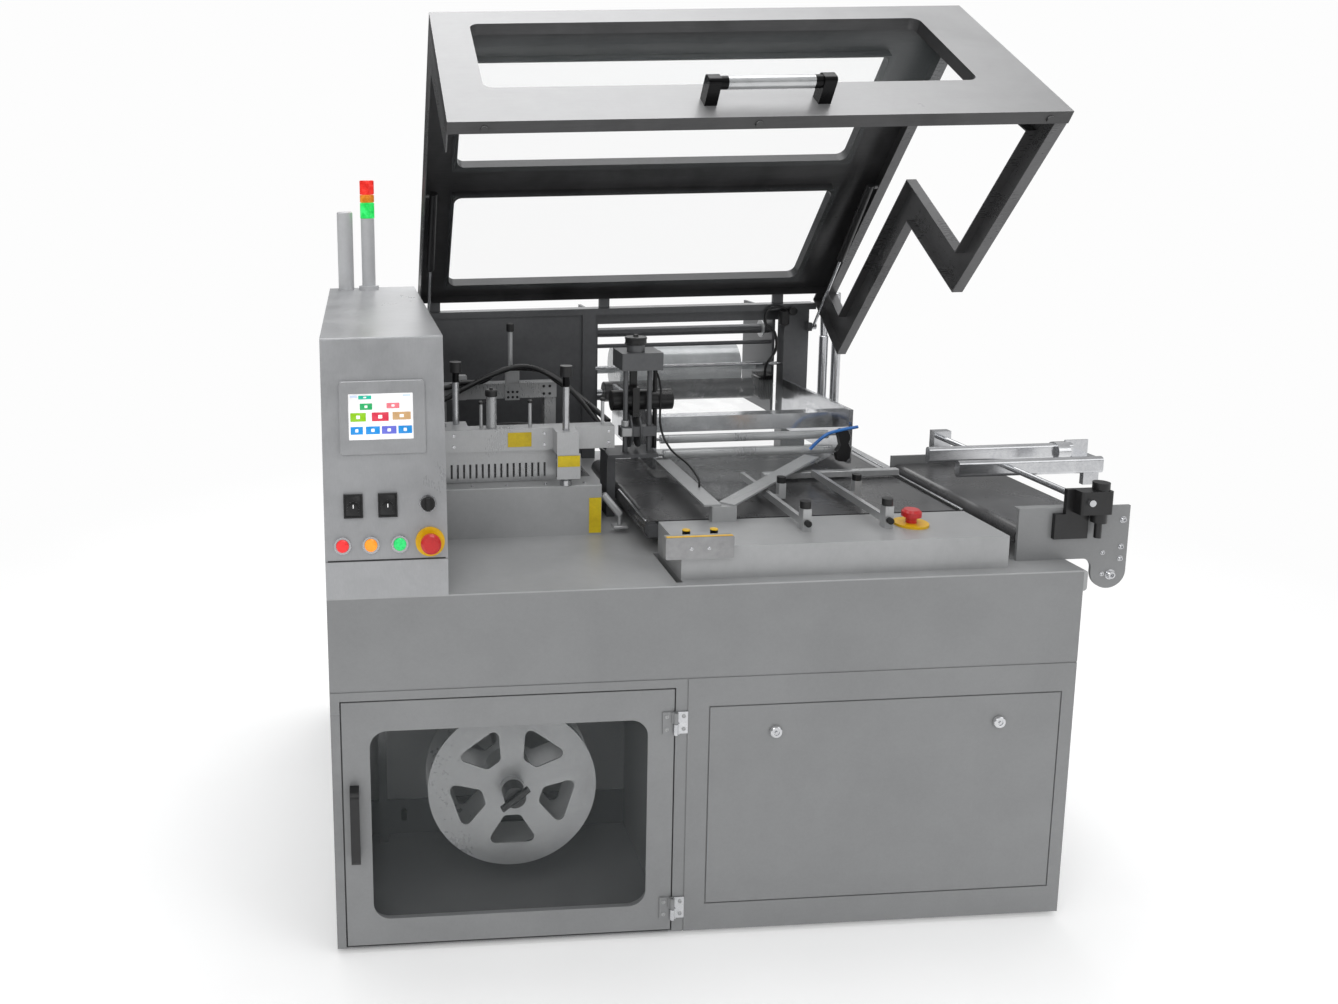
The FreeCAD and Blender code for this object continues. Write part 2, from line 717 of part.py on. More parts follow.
def jaw_shafts():
    """Two guide shafts with feet and black caps' seats."""
    pieces = []
    for x, y in shaft_places:
        floor = jaw_cover_top if y < cover_box[3] else deck_height
        foot = rod((x, y, floor), (x, y, floor + 12.0), 14.0)
        shaft = rod((x, y, floor), (x, y, shaft_top), shaft_radius)
        pieces.append(joined([foot, shaft]))
    return group(pieces)


def sealing_jaw():
    """Upper jaw: beam, slotted guard, slide blocks on the shafts, air cylinder and pins."""
    beam = block(jaw_x, jaw_y, jaw_z)
    guard_y = (358.0, 361.0)
    guard_x = (jaw_x[0], 530.0)
    guard = block(guard_x, guard_y, (jaw_cover_top + 1.0, jaw_z[0]))
    slots = [block((x, x + 5.0), (guard_y[0] - 2, guard_y[1] + 2), (jaw_cover_top + 10.0, jaw_cover_top + 44.0))
             for x in (guard_x[0] + 16.0 + comb_pitch * k for k in range(comb_slots))]
    body = [beam, guard.cut(group(slots))]
    for x, y in shaft_places:
        block_y = (y - 24.0, jaw_y[0]) if y < jaw_y[0] else (jaw_y[1], y + 24.0)
        body.append(block((x - 25.0, x + 25.0), block_y, jaw_z))
    middle = (jaw_y[0] + jaw_y[1]) / 2
    body += [rod((x, middle, jaw_z[1]), (x, middle, jaw_z[1] + 58.0), 4.0) for x in (356.0, 470.0, 640.0)]
    body.append(rod((380.0, middle, jaw_z[1]), (380.0, middle, jaw_z[1] + 74.0), 12.0))
    bores = [rod((x, y, 800.0), (x, y, shaft_top), shaft_radius + seat_gap) for x, y in shaft_places]
    return joined(body).cut(group(bores))


def rear_jaw_frame():
    """Rear cross beam on two posts, with its adjusting plate and screw."""
    beam = block((277.0, 600.0), (704.0, 744.0), (1010.0, 1050.0))
    posts = [block((x, x + 30.0), (714.0, 744.0), (deck_height, 1010.0)) for x in (277.0, 570.0)]
    plate = block((462.0, 500.0), (698.0, 704.0), (1006.0, 1084.0))
    screw = rod((480.0, 724.0, 1050.0), (480.0, 724.0, 1200.0), 6.0)
    return joined([beam] + posts + [plate, screw])


def side_sealer():
    """Side sealing head: foot, base plate, two columns, head block and threaded neck."""
    x, y = tower_box[:2], tower_box[2:]
    leg_x = (outfeed_x[1] + 4.0, table_left - 4.0)
    base = block((leg_x[0], x[1] - 8.0), y, tower_base_z)
    leg = block(leg_x, (y[0] + 10.0, y[1] - 10.0), (deck_height, tower_base_z[0]))
    columns = [rod((c, tower_column_y, tower_base_z[1]), (c, tower_column_y, tower_head_z[0]),
                   tower_column_radius) for c in tower_columns_x]
    head = block(x, y, tower_head_z)
    neck_x = (tower_columns_x[0] + tower_columns_x[1]) / 2 - 6.0
    neck = rod((neck_x, tower_column_y, tower_head_z[1]), (neck_x, tower_column_y, tower_head_z[1] + 18.0), 21.0)
    carriage = block((tower_columns_x[0] - 14.0, tower_columns_x[1] + 14.0),
                     (tower_column_y - 12.0, tower_column_y + 12.0), (966.0, 990.0))
    return joined([base, leg, head, neck, carriage] + columns)


def sealer_drive():
    """Black motor behind the columns."""
    y = tower_box[3] - 26.0
    motor = rod((690.0, y, 1046.0), (838.0, y, 1046.0), 25.0)
    flange = block((736.0, 752.0), (y - 30.0, y + 26.0), (1010.0, 1082.0))
    hanger = block((736.0, 752.0), (y - 6.0, y + 6.0), (1082.0, tower_head_z[0]))
    return joined([motor, flange, hanger])


# ---------------------------------------------------------------- rear frame and film path
def rear_posts():
    """Left posts with the sheet wall between them, and the right post."""
    z = (deck_height, beam_z[0])
    left = block(left_post_x, post_y, z)
    middle = block(middle_post_x, post_y, z)
    wall = block((left_post_x[1], middle_post_x[0]), (952.0, 952.0 + sheet), z)
    right = block(right_post_x, post_y, z)
    pin_pieces = []
    for x in spring_x:
        lug = block((x - 20.0, x - 8.0), (spring_low[0] - 10.0, post_y[0]), (spring_low[1] - 12.0, spring_low[1] + 12.0))
        pin = rod((x - 10.0, spring_low[0], spring_low[1]), (x + 8.0, spring_low[0], spring_low[1]), spring_pin_radius)
        pin_pieces.append(joined([lug, pin]))
    return group([joined([left, middle, wall, pin_pieces[0]]), joined([right, pin_pieces[1]])])


def hinge_beam():
    """Beam across the posts with the fixed knuckles and pins of the hood's hinges."""
    beam = block((left_post_x[0], table_right), post_y, beam_z)
    pieces = [beam]
    for x in hinge_places:
        fixed = (x - 1.0 - hinge_knuckle - hinge_knuckle / 2, x - 1.0 - hinge_knuckle / 2)
        pieces.append(block(fixed, (hinge_y - 5.0, hinge_y + 5.0), (beam_z[1], hinge_z)))
        pieces.append(rod((fixed[0], hinge_y, hinge_z), (fixed[1], hinge_y, hinge_z), hinge_radius))
        pieces.append(rod((fixed[1] - 1.0, hinge_y, hinge_z), (x + hinge_knuckle / 2, hinge_y, hinge_z),
                          hinge_pin_radius))
    return joined(pieces)


def film_guide():
    """Side plates and rail that carry the film guide rollers."""
    rail = block(rail_x, (600.0, 640.0), (931.0, 971.0))
    left = block((rail_x[0] - 10.0, rail_x[0]), (540.0, post_y[0]), (850.0, 990.0))
    right = block((rail_x[1], rail_x[1] + 10.0), (540.0, post_y[0]), (850.0, 990.0))
    feet = [block((x[0], x[1]), (700.0, 740.0), (deck_height, 850.0))
            for x in ((rail_x[0] - 10.0, rail_x[0]), (rail_x[1], rail_x[1] + 10.0))]
    bores = [rod((rail_x[0] - 6.0, y, z), (rail_x[1] + 6.0, y, z), 4.0 + seat_gap)
             for y, z, _ in guide_rollers.values()]
    return joined([rail, left, right] + feet).cut(group(bores))


def film_roller(y, z, radius):
    """A guide roller on its shaft."""
    body = rod((rail_x[0] + 24.0, y, z), (rail_x[1] - 32.0, y, z), radius)
    shaft = rod((rail_x[0] - 5.0, y, z), (rail_x[1] + 5.0, y, z), 4.0)
    return joined([body, shaft])


def film_rack():
    """Rear rack: side plates, cross bar and two fixed rods."""
    left = block((rack_x[0] - 8.0, rack_x[0]), (post_y[1], rack_rear), (880.0, 1192.0))
    right = block((rack_x[1], rack_x[1] + 8.0), (post_y[1], rack_rear), (880.0, 1192.0))
    tie = block((middle_post_x[0], right_post_x[1]), (post_y[1], post_y[1] + 10.0), (1160.0, 1192.0))
    rods = [rod((rack_x[0], y, z), (rack_x[1], y, z), r)
            for y, z, r in ((1024.0, 1130.0, 14.0), (1006.0, 1092.0, 6.0), (1180.0, 900.0, 10.0))]
    y, z = roll_centre
    bores = rod((rack_x[0] - 4.0, y, z), (rack_x[1] + 4.0, y, z), 12.0 + seat_gap)
    return joined([left, right, tie] + rods).cut(bores)


def film_roll():
    """Film on its core bar, which lies in the rack's side plates."""
    y, z = roll_centre
    roll = rod((860.0, y, z), (1230.0, y, z), roll_radius)
    core = rod((rack_x[0] - 3.5, y, z), (rack_x[1] + 3.5, y, z), 12.0)
    return joined([roll, core])


def film_plough():
    """Film inverting plough: a rail along the machine's depth and a 45 degree turning bar, on an apex block."""
    apex = block((836.0, 890.0), (174.0, 196.0), (table_top, 872.0))
    rail = block((820.0, 858.0), (180.0, 540.0), (872.0, 876.0))
    rear_post = block((rail_x[0] - 2.0, 858.0), (534.0, 540.0), (850.0, 876.0))
    bar = block((-18.0, 18.0), (0, 490.0), (0, 4.0))
    bar.rotate(V(0, 0, 0), V(0, 0, 1), -45.0)
    bar.translate(V(872.0, 186.0, 872.0))
    return joined([apex, rail, rear_post, bar])


# ---------------------------------------------------------------- guard hood, drawn shut
def turned(shape):
    """The hood's pieces as they stand with the hood open."""
    copy = shape.copy()
    copy.rotate(V(0, hinge_y, hinge_z), V(1, 0, 0), -hood_open)
    return copy


def framed_panel(x, length, windows, window_span):
    """A flat folded frame, skin up: X across, Y from 0 to its length, Z down from 0 to the bar's depth."""
    body = block(x, (0, length), (-hood_bar, 0))
    edges = [0.0]
    for near, far in windows:
        cut = block(window_span, (near, far), (-hood_bar - 1, 1))
        body = body.cut(cut.makeFillet(window_radius, edges_along(cut, "z")))
        edges += [near, far]
    edges.append(length)
    t = hood_skin
    hollow = []
    for low, high in zip(edges[0::2], edges[1::2]):
        hollow.append(block((x[0] + t, x[1] - t), (low + t, high - t), (-hood_bar - 1, -t)))
    for near, far in windows:
        hollow.append(block((x[0] + t, window_span[0] - t), (near - 2 * t, far + 2 * t), (-hood_bar - 1, -t)))
        hollow.append(block((window_span[1] + t, x[1] - t), (near - 2 * t, far + 2 * t), (-hood_bar - 1, -t)))
    return body.cut(joined(hollow))


def front_panel_solid(depth):
    """Everything within a given depth under the front panel's skin."""
    run = math.hypot(hinge_z - lip_z, hood_corner_y - lip_y)
    ny, nz = (hinge_z - lip_z) / run, -(hood_corner_y - lip_y) / run
    return [(hood_corner_y, hinge_z), (lip_y, lip_z), (lip_y + ny * depth, lip_z + nz * depth),
            (hood_corner_y + ny * depth, hinge_z + nz * depth)]


def hood_front():
    """Front panel with its long window, drawn flat and stood up under the corner."""
    run = math.hypot(hinge_z - lip_z, hood_corner_y - lip_y)
    panel = framed_panel((hood_left, hood_right), run, (front_window,), window_x)
    bumpers = [rod((x, -bumper_reach, -16.0), (x, hood_skin - 1.0, -16.0), 7.0) for x in (320.0, 838.0, 1400.0)]
    panel = joined([panel] + bumpers)
    panel.rotate(V(0, 0, 0), V(1, 0, 0), math.degrees(math.atan2(hinge_z - lip_z, hood_corner_y - lip_y)))
    panel.translate(V(0, lip_y, lip_z))
    return turned(panel)


def hood_top():
    """Top panel with two windows and the moving knuckles of the hinges."""
    panel = framed_panel((hood_left, hood_right), hood_rear_y - hood_corner_y,
                         tuple((hinge_y - hood_corner_y - far, hinge_y - hood_corner_y - near)
                               for near, far in reversed(top_windows)), window_x)
    panel.translate(V(0, hood_corner_y, hinge_z))
    corner = prism_x(front_panel_solid(hood_bar), (hood_left - 1, hood_right + 1))
    edge = front_panel_solid(hood_bar)[3]
    flange = block((hood_left, hood_right), (edge[0], edge[0] + hood_skin + 2.0), (hinge_z - hood_bar, hinge_z))
    pieces = [joined([panel, flange]).cut(corner)]
    for x in hinge_places:
        span = (x - hinge_knuckle / 2, x + hinge_knuckle / 2)
        pieces.append(block(span, (hood_rear_y, hinge_y), (hinge_z - 8.0, hinge_z + 8.0)))
        pieces.append(rod((span[0], hinge_y, hinge_z), (span[1], hinge_y, hinge_z), hinge_radius))
    pins = [rod((x - 20.0, hinge_y, hinge_z), (x + 20.0, hinge_y, hinge_z), hinge_pin_radius + seat_gap)
            for x in hinge_places]
    return turned(joined(pieces).cut(group(pins)))


def under_panels(points, x):
    """A side piece of the hood, trimmed to lie under both panels."""
    body = prism_x(points, x)
    top = block((x[0] - 1, x[1] + 1), (-50.0, hood_rear_y), (hinge_z - hood_bar, hinge_z + 50.0))
    front = prism_x(front_panel_solid(hood_bar), (x[0] - 1, x[1] + 1))
    return body.cut(joined([top, front]))


def hood_end():
    """Stepped right end of the hood: an open ribbon of folded sheet that follows the table's outline."""
    x = (hood_right - end_thickness, hood_right)
    r = end_rib
    rear = end_rear_y
    outline = [(hood_corner_y, hinge_z - 2.0), (lip_y, lip_z), (end_step_y - 16.0, lip_z),
               (end_step_y, end_step_z), (rear, end_step_z), (rear, hinge_z - 2.0)]
    opening = [(hood_corner_y + hood_bar + r, hinge_z - hood_bar - 30.0), (lip_y + hood_bar + r - 8.0, lip_z + 58.0),
               (end_step_y - 16.0 - r, lip_z + 58.0), (end_step_y - r, end_step_z + r),
               (rear - r - 10.0, end_step_z + r), (rear - r - 10.0, hinge_z - hood_bar - 30.0)]
    ribbon = prism_x(outline, x).cut(prism_x(opening, (x[0] - 1, x[1] + 1)))
    t = hood_skin
    outer_wire = Part.makePolygon([V(x[0] - 1, p[0], p[1]) for p in outline + outline[:1]])
    inner_wire = Part.makePolygon([V(x[0] - 1, p[0], p[1]) for p in opening + opening[:1]])
    shrunk = Part.Face(outer_wire).makeOffset2D(-t, 2)
    grown = Part.Face(inner_wire).makeOffset2D(t, 2)
    channel = shrunk.extrude(V(end_thickness - t + 1, 0, 0)).cut(grown.extrude(V(end_thickness + t, 0, 0)))
    folded = ribbon.cut(channel)
    top = block((x[0] - 1, x[1] + 1), (-50.0, hood_rear_y), (hinge_z - hood_bar, hinge_z + 50.0))
    front = prism_x(front_panel_solid(hood_bar), (x[0] - 1, x[1] + 1))
    stud_x = (spring_x[1] + spring_tube_radius + 0.8, x[1] - 1.0)
    stud = rod((stud_x[0], spring_high[0], spring_high[1]), (stud_x[1], spring_high[0], spring_high[1]), 5.0)
    return turned(joined([folded.cut(joined([top, front])), stud]))


def hood_cheek():
    """Narrow left side flange of the hood."""
    x = (hood_left, hood_left + hood_skin)
    outline = [(hood_corner_y, hinge_z), (lip_y, lip_z), (lip_y + 70.0, lip_z), (hood_corner_y + 90.0, hinge_z - 76.0),
               (hood_rear_y - 14.0, hinge_z - 76.0), (hood_rear_y - 14.0, hinge_z)]
    stud = rod((x[0] + 1.0, spring_high[0], spring_high[1]),
               (spring_x[0] - spring_tube_radius - 0.8, spring_high[0], spring_high[1]), 5.0)
    return turned(joined([under_panels(outline, x), stud]))


def hood_panes():
    """Clear panes on the inner edges of the window frames."""
    under = hinge_z - hood_bar
    across = (window_x[0] - pane_overlap, window_x[1] + pane_overlap)
    panes = [block(across, (hinge_y - far - pane_overlap, hinge_y - near + pane_overlap),
                   (under - pane_thickness, under)) for near, far in top_windows]
    low, high = front_window[0] - pane_overlap, front_window[1] + pane_overlap
    front = block(across, (low, high), (-hood_bar - pane_thickness, -hood_bar))
    front.rotate(V(0, 0, 0), V(1, 0, 0), math.degrees(math.atan2(hinge_z - lip_z, hood_corner_y - lip_y)))
    front.translate(V(0, lip_y, lip_z))
    return turned(group(panes + [front]))


def hood_handle():
    """Grip tube between two black feet on the front panel."""
    z, reach = 58.0, 40.0
    grip = rod((760.0, z, reach), (968.0, z, reach), 13.0)
    pieces = [grip]
    for x in ((742.0, 766.0), (962.0, 986.0)):
        foot = block(x, (z - 15.0, z + 15.0), (0, reach + 14.0))
        pieces.append(foot.makeFillet(9.0, edges_along(foot, "x", lambda c: c.z > reach)))
    handle = joined(pieces)
    handle.rotate(V(0, 0, 0), V(1, 0, 0), math.degrees(math.atan2(hinge_z - lip_z, hood_corner_y - lip_y)))
    handle.translate(V(0, lip_y, lip_z))
    return turned(handle)


# ---------------------------------------------------------------- gas springs
def spring_line():
    """Lower pivot, unit direction and length between the pivots with the hood open."""
    a = math.radians(-hood_open)
    y, z = spring_high[0] - hinge_y, spring_high[1] - hinge_z
    high = (hinge_y + y * math.cos(a) - z * math.sin(a), hinge_z + y * math.sin(a) + z * math.cos(a))
    length = math.hypot(high[0] - spring_low[0], high[1] - spring_low[1])
    return ((high[0] - spring_low[0]) / length, (high[1] - spring_low[1]) / length), length


def along_spring(x, s):
    (uy, uz), _ = spring_line()
    return (x, spring_low[0] + uy * s, spring_low[1] + uz * s)


def spring_rods():
    """Piston rods with their lower eyes."""
    _, length = spring_line()
    pieces = []
    for x in spring_x:
        stem = rod(along_spring(x, 0.0), along_spring(x, length - spring_stroke - 7.0), spring_rod_radius)
        eye = rod((x - 6.0, spring_low[0], spring_low[1]), (x + 6.0, spring_low[0], spring_low[1]), spring_eye_radius)
        hole = rod((x - 9.0, spring_low[0], spring_low[1]), (x + 9.0, spring_low[0], spring_low[1]),
                   spring_pin_radius + seat_gap)
        pieces.append(joined([stem, eye]).cut(hole))
    return group(pieces)


def spring_tubes():
    """Pressure tubes that slide over the rods."""
    _, length = spring_line()
    pieces = []
    for x in spring_x:
        low, high = length - spring_tube_length + 12.0, length + 8.0
        body = rod(along_spring(x, low), along_spring(x, high), spring_tube_radius)
        bore = rod(along_spring(x, low - 5.0), along_spring(x, length - 5.0), spring_rod_radius + seat_gap)
        pieces.append(body.cut(bore))
    return group(pieces)


# ---------------------------------------------------------------- build
os.makedirs("parts", exist_ok=True)

table_belt = ((table_left, table_right), (belt_front, belt_rear))
parts = {
    "base_plinth": base_plinth(),
    "cabinet_housing": cabinet_housing(),
    "compartment_liner": compartment_liner(),
    "access_panel": access_panel(),
    "deck_plate": deck_plate(),
    "cabinet_door": cabinet_door(),
    "door_window": door_glass(),
    "door_handle": door_handle(),
    "door_hinges": group(door_hinge_halves(moving=False)),
    "scrap_reel": scrap_reel(),
    "reel_axle": reel_axle(),
    "reel_handle": reel_handle(),
    "console_housing": console_housing(),
    "touch_screen": touch_screen(),
    "dial_meters": dial_meters(),
    "button_collars": button_collars(),
    "selector_knob": selector_knob(),
    "stop_guards": stop_guards(),
    "panel_stop": panel_stop(),
    "table_stop": table_stop(),
    "console_columns": console_columns(),
    "table_cover": table_cover(),
    "conveyor_beds": group([belt_bed(*table_belt), belt_bed(outfeed_x, outfeed_y)]),
    "conveyor_belts": group([belt_loop(*table_belt), belt_loop(outfeed_x, outfeed_y),
                             belt_loop(infeed_x, infeed_y)]),
    "infeed_frame": infeed_frame(),
    "guide_carriage": guide_carriage(),
    "rear_guide": rear_guide(),
    "guide_clamp": guide_clamp(),
    "cross_slides": cross_slides(),
    "hand_knobs": hand_knobs(),
    "hood_catches": hood_catches(),
    "lower_jaw_cover": lower_jaw_cover(),
    "jaw_shafts": jaw_shafts(),
    "sealing_jaw": sealing_jaw(),
    "rear_jaw_frame": rear_jaw_frame(),
    "side_sealer": side_sealer(),
    "sealer_drive": sealer_drive(),
    "rear_posts": rear_posts(),
    "hinge_beam": hinge_beam(),
    "film_guide": film_guide(),
    "film_rack": film_rack(),
    "film_roll": film_roll(),
    "film_plough": film_plough(),
    "hood_front": hood_front(),
    "hood_top": hood_top(),
    "hood_end": hood_end(),
    "hood_cheek": hood_cheek(),
    "hood_panes": hood_panes(),
    "hood_handle": hood_handle(),
    "spring_rods": spring_rods(),
    "spring_tubes": spring_tubes(),
}
for colour, place in button_places.items():
    parts["button_" + colour] = push_button(place)
for colour in lamp_heights:
    parts["lamp_" + colour] = signal_lamp(colour)
for name, (y, z, radius) in guide_rollers.items():
    parts["guide_roller_" + name] = film_roller(y, z, radius)
for name, shape in parts.items():
    put(shape, name)
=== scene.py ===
"""Looks of the side-seal film wrapping machine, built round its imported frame. Metres, +Z up."""
import math

import bpy
import numpy as np
from mathutils import Matrix, Vector


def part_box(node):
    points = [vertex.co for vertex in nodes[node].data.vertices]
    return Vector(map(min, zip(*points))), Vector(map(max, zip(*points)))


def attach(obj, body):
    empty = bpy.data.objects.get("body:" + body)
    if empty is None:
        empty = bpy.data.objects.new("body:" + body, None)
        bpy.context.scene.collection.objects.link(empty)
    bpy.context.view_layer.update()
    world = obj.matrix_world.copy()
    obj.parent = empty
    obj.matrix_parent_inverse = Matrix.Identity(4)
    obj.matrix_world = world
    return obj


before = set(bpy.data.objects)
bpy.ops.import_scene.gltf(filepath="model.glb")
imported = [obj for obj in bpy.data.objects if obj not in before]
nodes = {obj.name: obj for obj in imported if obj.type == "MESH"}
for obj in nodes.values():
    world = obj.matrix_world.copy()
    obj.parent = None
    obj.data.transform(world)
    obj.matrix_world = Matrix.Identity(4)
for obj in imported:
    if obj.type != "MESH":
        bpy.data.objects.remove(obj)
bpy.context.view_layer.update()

# ------------------------------------------------------------ camera, floor and light
# The camera stands at eye level in front of the console and looks slightly down at the machine, which
# stands on a pale studio floor under four soft lamps.
camera_place = Vector((-0.700, -2.420, 1.600))
camera_yaw, camera_pitch, camera_roll = 0.0442, 0.1450, -0.0200
look = Vector((math.sin(camera_yaw) * math.cos(camera_pitch),
               math.cos(camera_yaw) * math.cos(camera_pitch), -math.sin(camera_pitch)))
level = Vector((math.cos(camera_yaw), -math.sin(camera_yaw), 0))
upright = level.cross(look)
right = level * math.cos(camera_roll) + upright * math.sin(camera_roll)
above = upright * math.cos(camera_roll) - level * math.sin(camera_roll)
camera = bpy.data.objects.new("camera", bpy.data.cameras.new("camera"))
camera.matrix_world = Matrix((
    (right.x, above.x, -look.x, camera_place.x),
    (right.y, above.y, -look.y, camera_place.y),
    (right.z, above.z, -look.z, camera_place.z),
    (0, 0, 0, 1)))
camera.data.sensor_width = 36
camera.data.lens = 27.2
camera.data.shift_x, camera.data.shift_y = 0.2, -0.130
camera.data.clip_start, camera.data.clip_end = 0.05, 60
bpy.context.scene.collection.objects.link(camera)
bpy.context.scene.camera = camera
bpy.context.scene.view_settings.view_transform = "Standard"


def rgb(text):
    """Linear colour of an sRGB hex text: c / 12.92 below 0.04045, else ((c + 0.055) / 1.055) ** 2.4."""
    values = [int(text[i:i + 2], 16) / 255 for i in (1, 3, 5)]
    return tuple(c / 12.92 if c < 0.04045 else ((c + 0.055) / 1.055) ** 2.4 for c in values) + (1.0,)


def add(tree, kind, settings=None, **inputs):
    """Adds one shader node: settings are its own values, inputs are numbers or sockets by their name."""
    made = tree.nodes.new("ShaderNode" + kind)
    for key, value in (settings or {}).items():
        setattr(made, key, value)
    for key, value in inputs.items():
        names = {socket.name.replace(" ", "_"): socket for socket in reversed(list(made.inputs))}
        if isinstance(value, bpy.types.NodeSocket):
            tree.links.new(value, names[key])
        else:
            names[key].default_value = value
    return made


def ramp(tree, factor, stops):
    """A colour ramp over factor, with (position, hex colour) stops."""
    made = add(tree, "ValToRGB", Fac=factor)
    points = made.color_ramp.elements
    while len(points) < len(stops):
        points.new(0.5)
    for point, (position, colour) in zip(points, stops):
        point.position = position
        point.color = rgb(colour)
    return made.outputs["Color"]


world = bpy.data.worlds.new("studio")
bpy.context.scene.world = world
world.use_nodes = True
sky = world.node_tree
sky.nodes.clear()
path = add(sky, "LightPath")
height = add(sky, "SeparateXYZ", Vector=add(sky, "TexCoord").outputs["Generated"]).outputs["Z"]
dome = ramp(sky, height,
            ((0.0, "#4a4b4c"), (0.10, "#58595a"), (0.26, "#e4e5e6"), (0.7, "#ffffff"), (1.0, "#c8c9ca")))
lit = add(sky, "Background", Color=dome, Strength=0.62)
seen = add(sky, "Background", Color=rgb("#fdfdfd"), Strength=1.0)
chosen = add(sky, "MixShader", Fac=path.outputs["Is Camera Ray"])
sky.links.new(lit.outputs[0], chosen.inputs[1])
sky.links.new(seen.outputs[0], chosen.inputs[2])
sky.links.new(chosen.outputs[0], add(sky, "OutputWorld").inputs["Surface"])


def softbox(name, place, target, size, power):
    """A soft rectangular lamp at place that faces target."""
    lamp = bpy.data.objects.new(name, bpy.data.lights.new(name, "AREA"))
    lamp.data.shape = "RECTANGLE"
    lamp.data.size, lamp.data.size_y = size
    lamp.data.energy = power
    lamp.location = place
    lamp.rotation_euler = (Vector(target) - Vector(place)).to_track_quat("-Z", "Y").to_euler()
    bpy.context.scene.collection.objects.link(lamp)


softbox("key_light", (-1.9, -3.4, 3.3), (0, 0, 0.7), (2.6, 2.0), 46)
softbox("fill_light", (3.2, -2.6, 2.0), (0.2, 0, 0.8), (2.4, 2.0), 18)
softbox("top_light", (0.2, 0.3, 4.4), (0, 0, 0), (3.4, 3.0), 92)
softbox("back_light", (0.8, 3.6, 2.8), (0, 0, 1.0), (3.0, 2.0), 30)

floor_half = 14.0
floor_mesh = bpy.data.meshes.new("studio_floor")
floor_mesh.from_pydata([(-floor_half, -floor_half, 0), (floor_half, -floor_half, 0),
                        (floor_half, floor_half, 0), (-floor_half, floor_half, 0)], [], [(0, 1, 2, 3)])
floor = bpy.data.objects.new("studio_floor", floor_mesh)
bpy.context.scene.collection.objects.link(floor)
floor_paint = bpy.data.materials.new("pale_floor")
floor_paint.use_nodes = True
floor_tree = floor_paint.node_tree
floor_tree.nodes.clear()
floor_place = add(floor_tree, "TexCoord").outputs["Object"]
floor_noise = add(floor_tree, "TexNoise", Vector=floor_place, Scale=3.0, Detail=4.0)
floor_colour = ramp(floor_tree, floor_noise.outputs["Fac"], ((0.3, "#f8f8f8"), (0.7, "#fcfcfc")))
floor_shader = add(floor_tree, "BsdfPrincipled", Base_Color=floor_colour, Roughness=0.85,
                   Emission_Color=rgb("#ffffff"), Emission_Strength=0.20)
away = add(floor_tree, "VectorMath", {"operation": "LENGTH"})
floor_tree.links.new(floor_place, away.inputs[0])
fading = add(floor_tree, "MapRange", Value=away.outputs["Value"], From_Min=1.2, From_Max=3.4)
far_floor = add(floor_tree, "Emission", Color=rgb("#fdfdfd"), Strength=1.0)
floor_mix = add(floor_tree, "MixShader", Fac=fading.outputs[0])
floor_tree.links.new(floor_shader.outputs[0], floor_mix.inputs[1])
floor_tree.links.new(far_floor.outputs[0], floor_mix.inputs[2])
floor_tree.links.new(floor_mix.outputs[0], add(floor_tree, "OutputMaterial").inputs["Surface"])
floor_mesh.materials.append(floor_paint)


# ------------------------------------------------------------ cabinet and door
# A folded and powder-coated steel cabinet on a recessed plinth, with a hinged door, a lift-off panel on
# quarter-turn locks and a ground deck plate. Added here: the locks, the hinges' screws, the foot line under
# the console's face and the oval cable fitting in the reel compartment.
finishes = {}
grain_share = 0.35                      # weight of the grain beside the clouds
dark_end, pale_end = 0.48, 0.86         # values of the pattern that show the darker and the paler colour
turned_away, turned_to = 0.25, 0.55     # cosines between which a facing finish changes over


